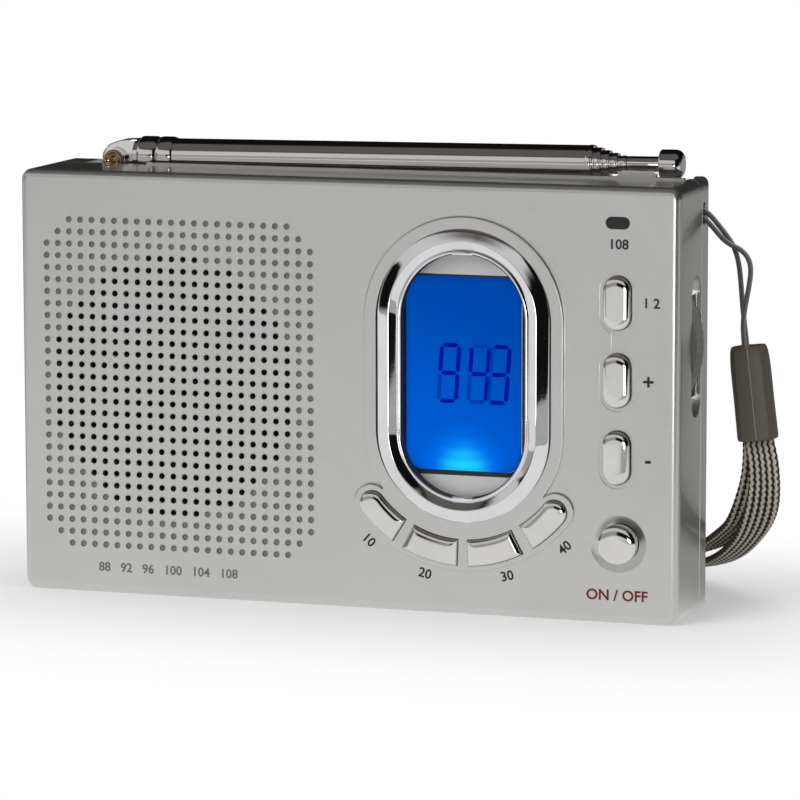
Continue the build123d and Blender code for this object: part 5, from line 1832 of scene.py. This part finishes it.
# ------------------------------------------------------------------ studio
@dataclass
class Studio:
    """Pale floor, soft lamps, the room that metal mirrors, and the camera. Sizes are in metres."""

    reach: float = 1.6
    floor_front: float = -0.15
    sheet_front: float = -0.262
    lamps: tuple[tuple[str, Point, Point, float, float], ...] = (
        ("key_light", (-0.9, -1.5, 1.5), (0, 0, 0.05), 1.4, 22.0),
        ("top_light", (0.1, 0.25, 1.6), (0, 0, 0.04), 1.2, 2.5),
        ("side_light", (1.7, -0.5, 0.7), (0.03, 0, 0.05), 0.7, 5.0),
    )
    soft_light: float = 0.5
    dome: tuple[int, int, float] = (48, 24, 5.0)
    camera_at: Point = (0.28465, -0.845, 0.1691)
    turn: float = 18.150
    dip: float = 8.283
    roll: float = -0.084
    lens: float = 205.6
    sensor: float = 36.0
    clip: float = 0.05

    def build(self) -> None:
        """Set up the floor, the light and the camera."""
        self.floor()
        self.world()
        for name, at, aim, size, power in self.lamps:
            self.lamp(name, at, aim, size, power)
        self.room()
        self.camera()
        bpy.context.scene.view_settings.view_transform = "Standard"

    def sheet(self, name: str, near: float, far: float, finish: Finish) -> bpy.types.Object:
        """A flat piece of the studio on the table, from near to far."""
        spots = [(-self.reach, near, 0), (self.reach, near, 0), (self.reach, far, 0), (-self.reach, far, 0)]
        return new_piece(name, spots, [cap(0, 4)], finish, False)

    def floor(self) -> None:
        """The wide pale table top, whose front part bright metal doesn't show, and the card that it shows."""
        back = self.sheet("studio_floor", self.floor_front, self.reach, Finish.FLOOR)
        front = self.sheet("studio_floor_front", -self.reach, self.floor_front, Finish.FLOOR)
        card = self.sheet("grey_sheet", self.sheet_front, self.floor_front, Finish.SHEET)
        back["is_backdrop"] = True
        front.visible_glossy = False
        front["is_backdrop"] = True
        self.only_mirrored(card)

    @staticmethod
    def only_mirrored(made: bpy.types.Object) -> None:
        """Let a piece of the studio show in reflections alone.

        Args:
            made: the piece.
        """
        made.visible_camera = False
        made.visible_diffuse = False
        made.visible_shadow = False
        made.visible_transmission = False
        made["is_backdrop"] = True

    def world(self) -> None:
        """White where it is seen, softer where it lights."""
        world = bpy.data.worlds.new("studio")
        bpy.context.scene.world = world
        world.use_nodes = True
        world.node_tree.nodes.clear()
        tree = Tree(world.node_tree)
        rays = tree.node("ShaderNodeLightPath")
        seen = rays[Ray.CAMERA].most(rays[Ray.GLOSSY]).most(rays[Ray.TRANSMISSION])
        inputs = {"Value": seen, "To Min": self.soft_light, "To Max": 1.0}
        strength = tree.node("ShaderNodeMapRange", None, inputs)[0]
        back = tree.node("ShaderNodeBackground", None, {"Color": WHITE, "Strength": strength})[0]
        tree.node("ShaderNodeOutputWorld", None, {"Surface": back})

    @staticmethod
    def lamp(name: str, at: Point, aim: Point, size: float, power: float) -> None:
        """Set a square soft lamp, which bright metal doesn't show.

        Args:
            name: the lamp's name.
            at: where it is.
            aim: what it faces.
            size: its side.
            power: in watts.
        """
        data = bpy.data.lights.new(name, "AREA")
        data.size = size
        data.energy = power
        made = new_object(name, data)
        made.visible_glossy = False
        turn = (Vector(aim) - Vector(at)).to_track_quat("-Z", "Y").to_matrix().to_4x4()
        made.matrix_world = Matrix.Translation(at) @ turn

    def room(self) -> None:
        """A wide dome that only reflections show."""
        segments, rings, radius = self.dome
        build = bmesh.new()
        bmesh.ops.create_uvsphere(build, u_segments=segments, v_segments=rings, radius=radius)
        mesh = bpy.data.meshes.new("surroundings")
        build.to_mesh(mesh)
        build.free()
        mesh.materials.append(Paint.get(Finish.ROOM))
        self.only_mirrored(new_object("surroundings", mesh))

    def camera(self) -> None:
        """The camera at its place, looking a little down and to the left."""
        data = bpy.data.cameras.new("camera")
        data.lens = self.lens
        data.sensor_width = self.sensor
        data.clip_start = self.clip
        made = new_object("camera", data)
        angles = (QUARTER - math.radians(self.dip), 0, math.radians(self.turn))
        turn = Euler(angles).to_matrix().to_4x4() @ Matrix.Rotation(math.radians(self.roll), 4, "Z")
        made.matrix_world = Matrix.Translation(self.camera_at) @ turn
        bpy.context.scene.camera = made


def corners() -> list[list[float]]:
    """The object's lowest and highest corners as plain lists."""
    return [[float(part) for part in corner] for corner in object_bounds()]


def main() -> None:
    """Build every sub-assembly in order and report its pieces."""
    logging.basicConfig(level=logging.INFO)
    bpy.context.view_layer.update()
    for assembly in (Hardware(), Case(), Display(), Strap(), Studio()):
        known = set(bpy.data.objects.keys())
        assembly.build()
        for name in sorted(set(bpy.data.objects.keys()) - known):
            log.info("%s: %s", type(assembly).__name__, name)


if __name__ == "__main__":
    main()
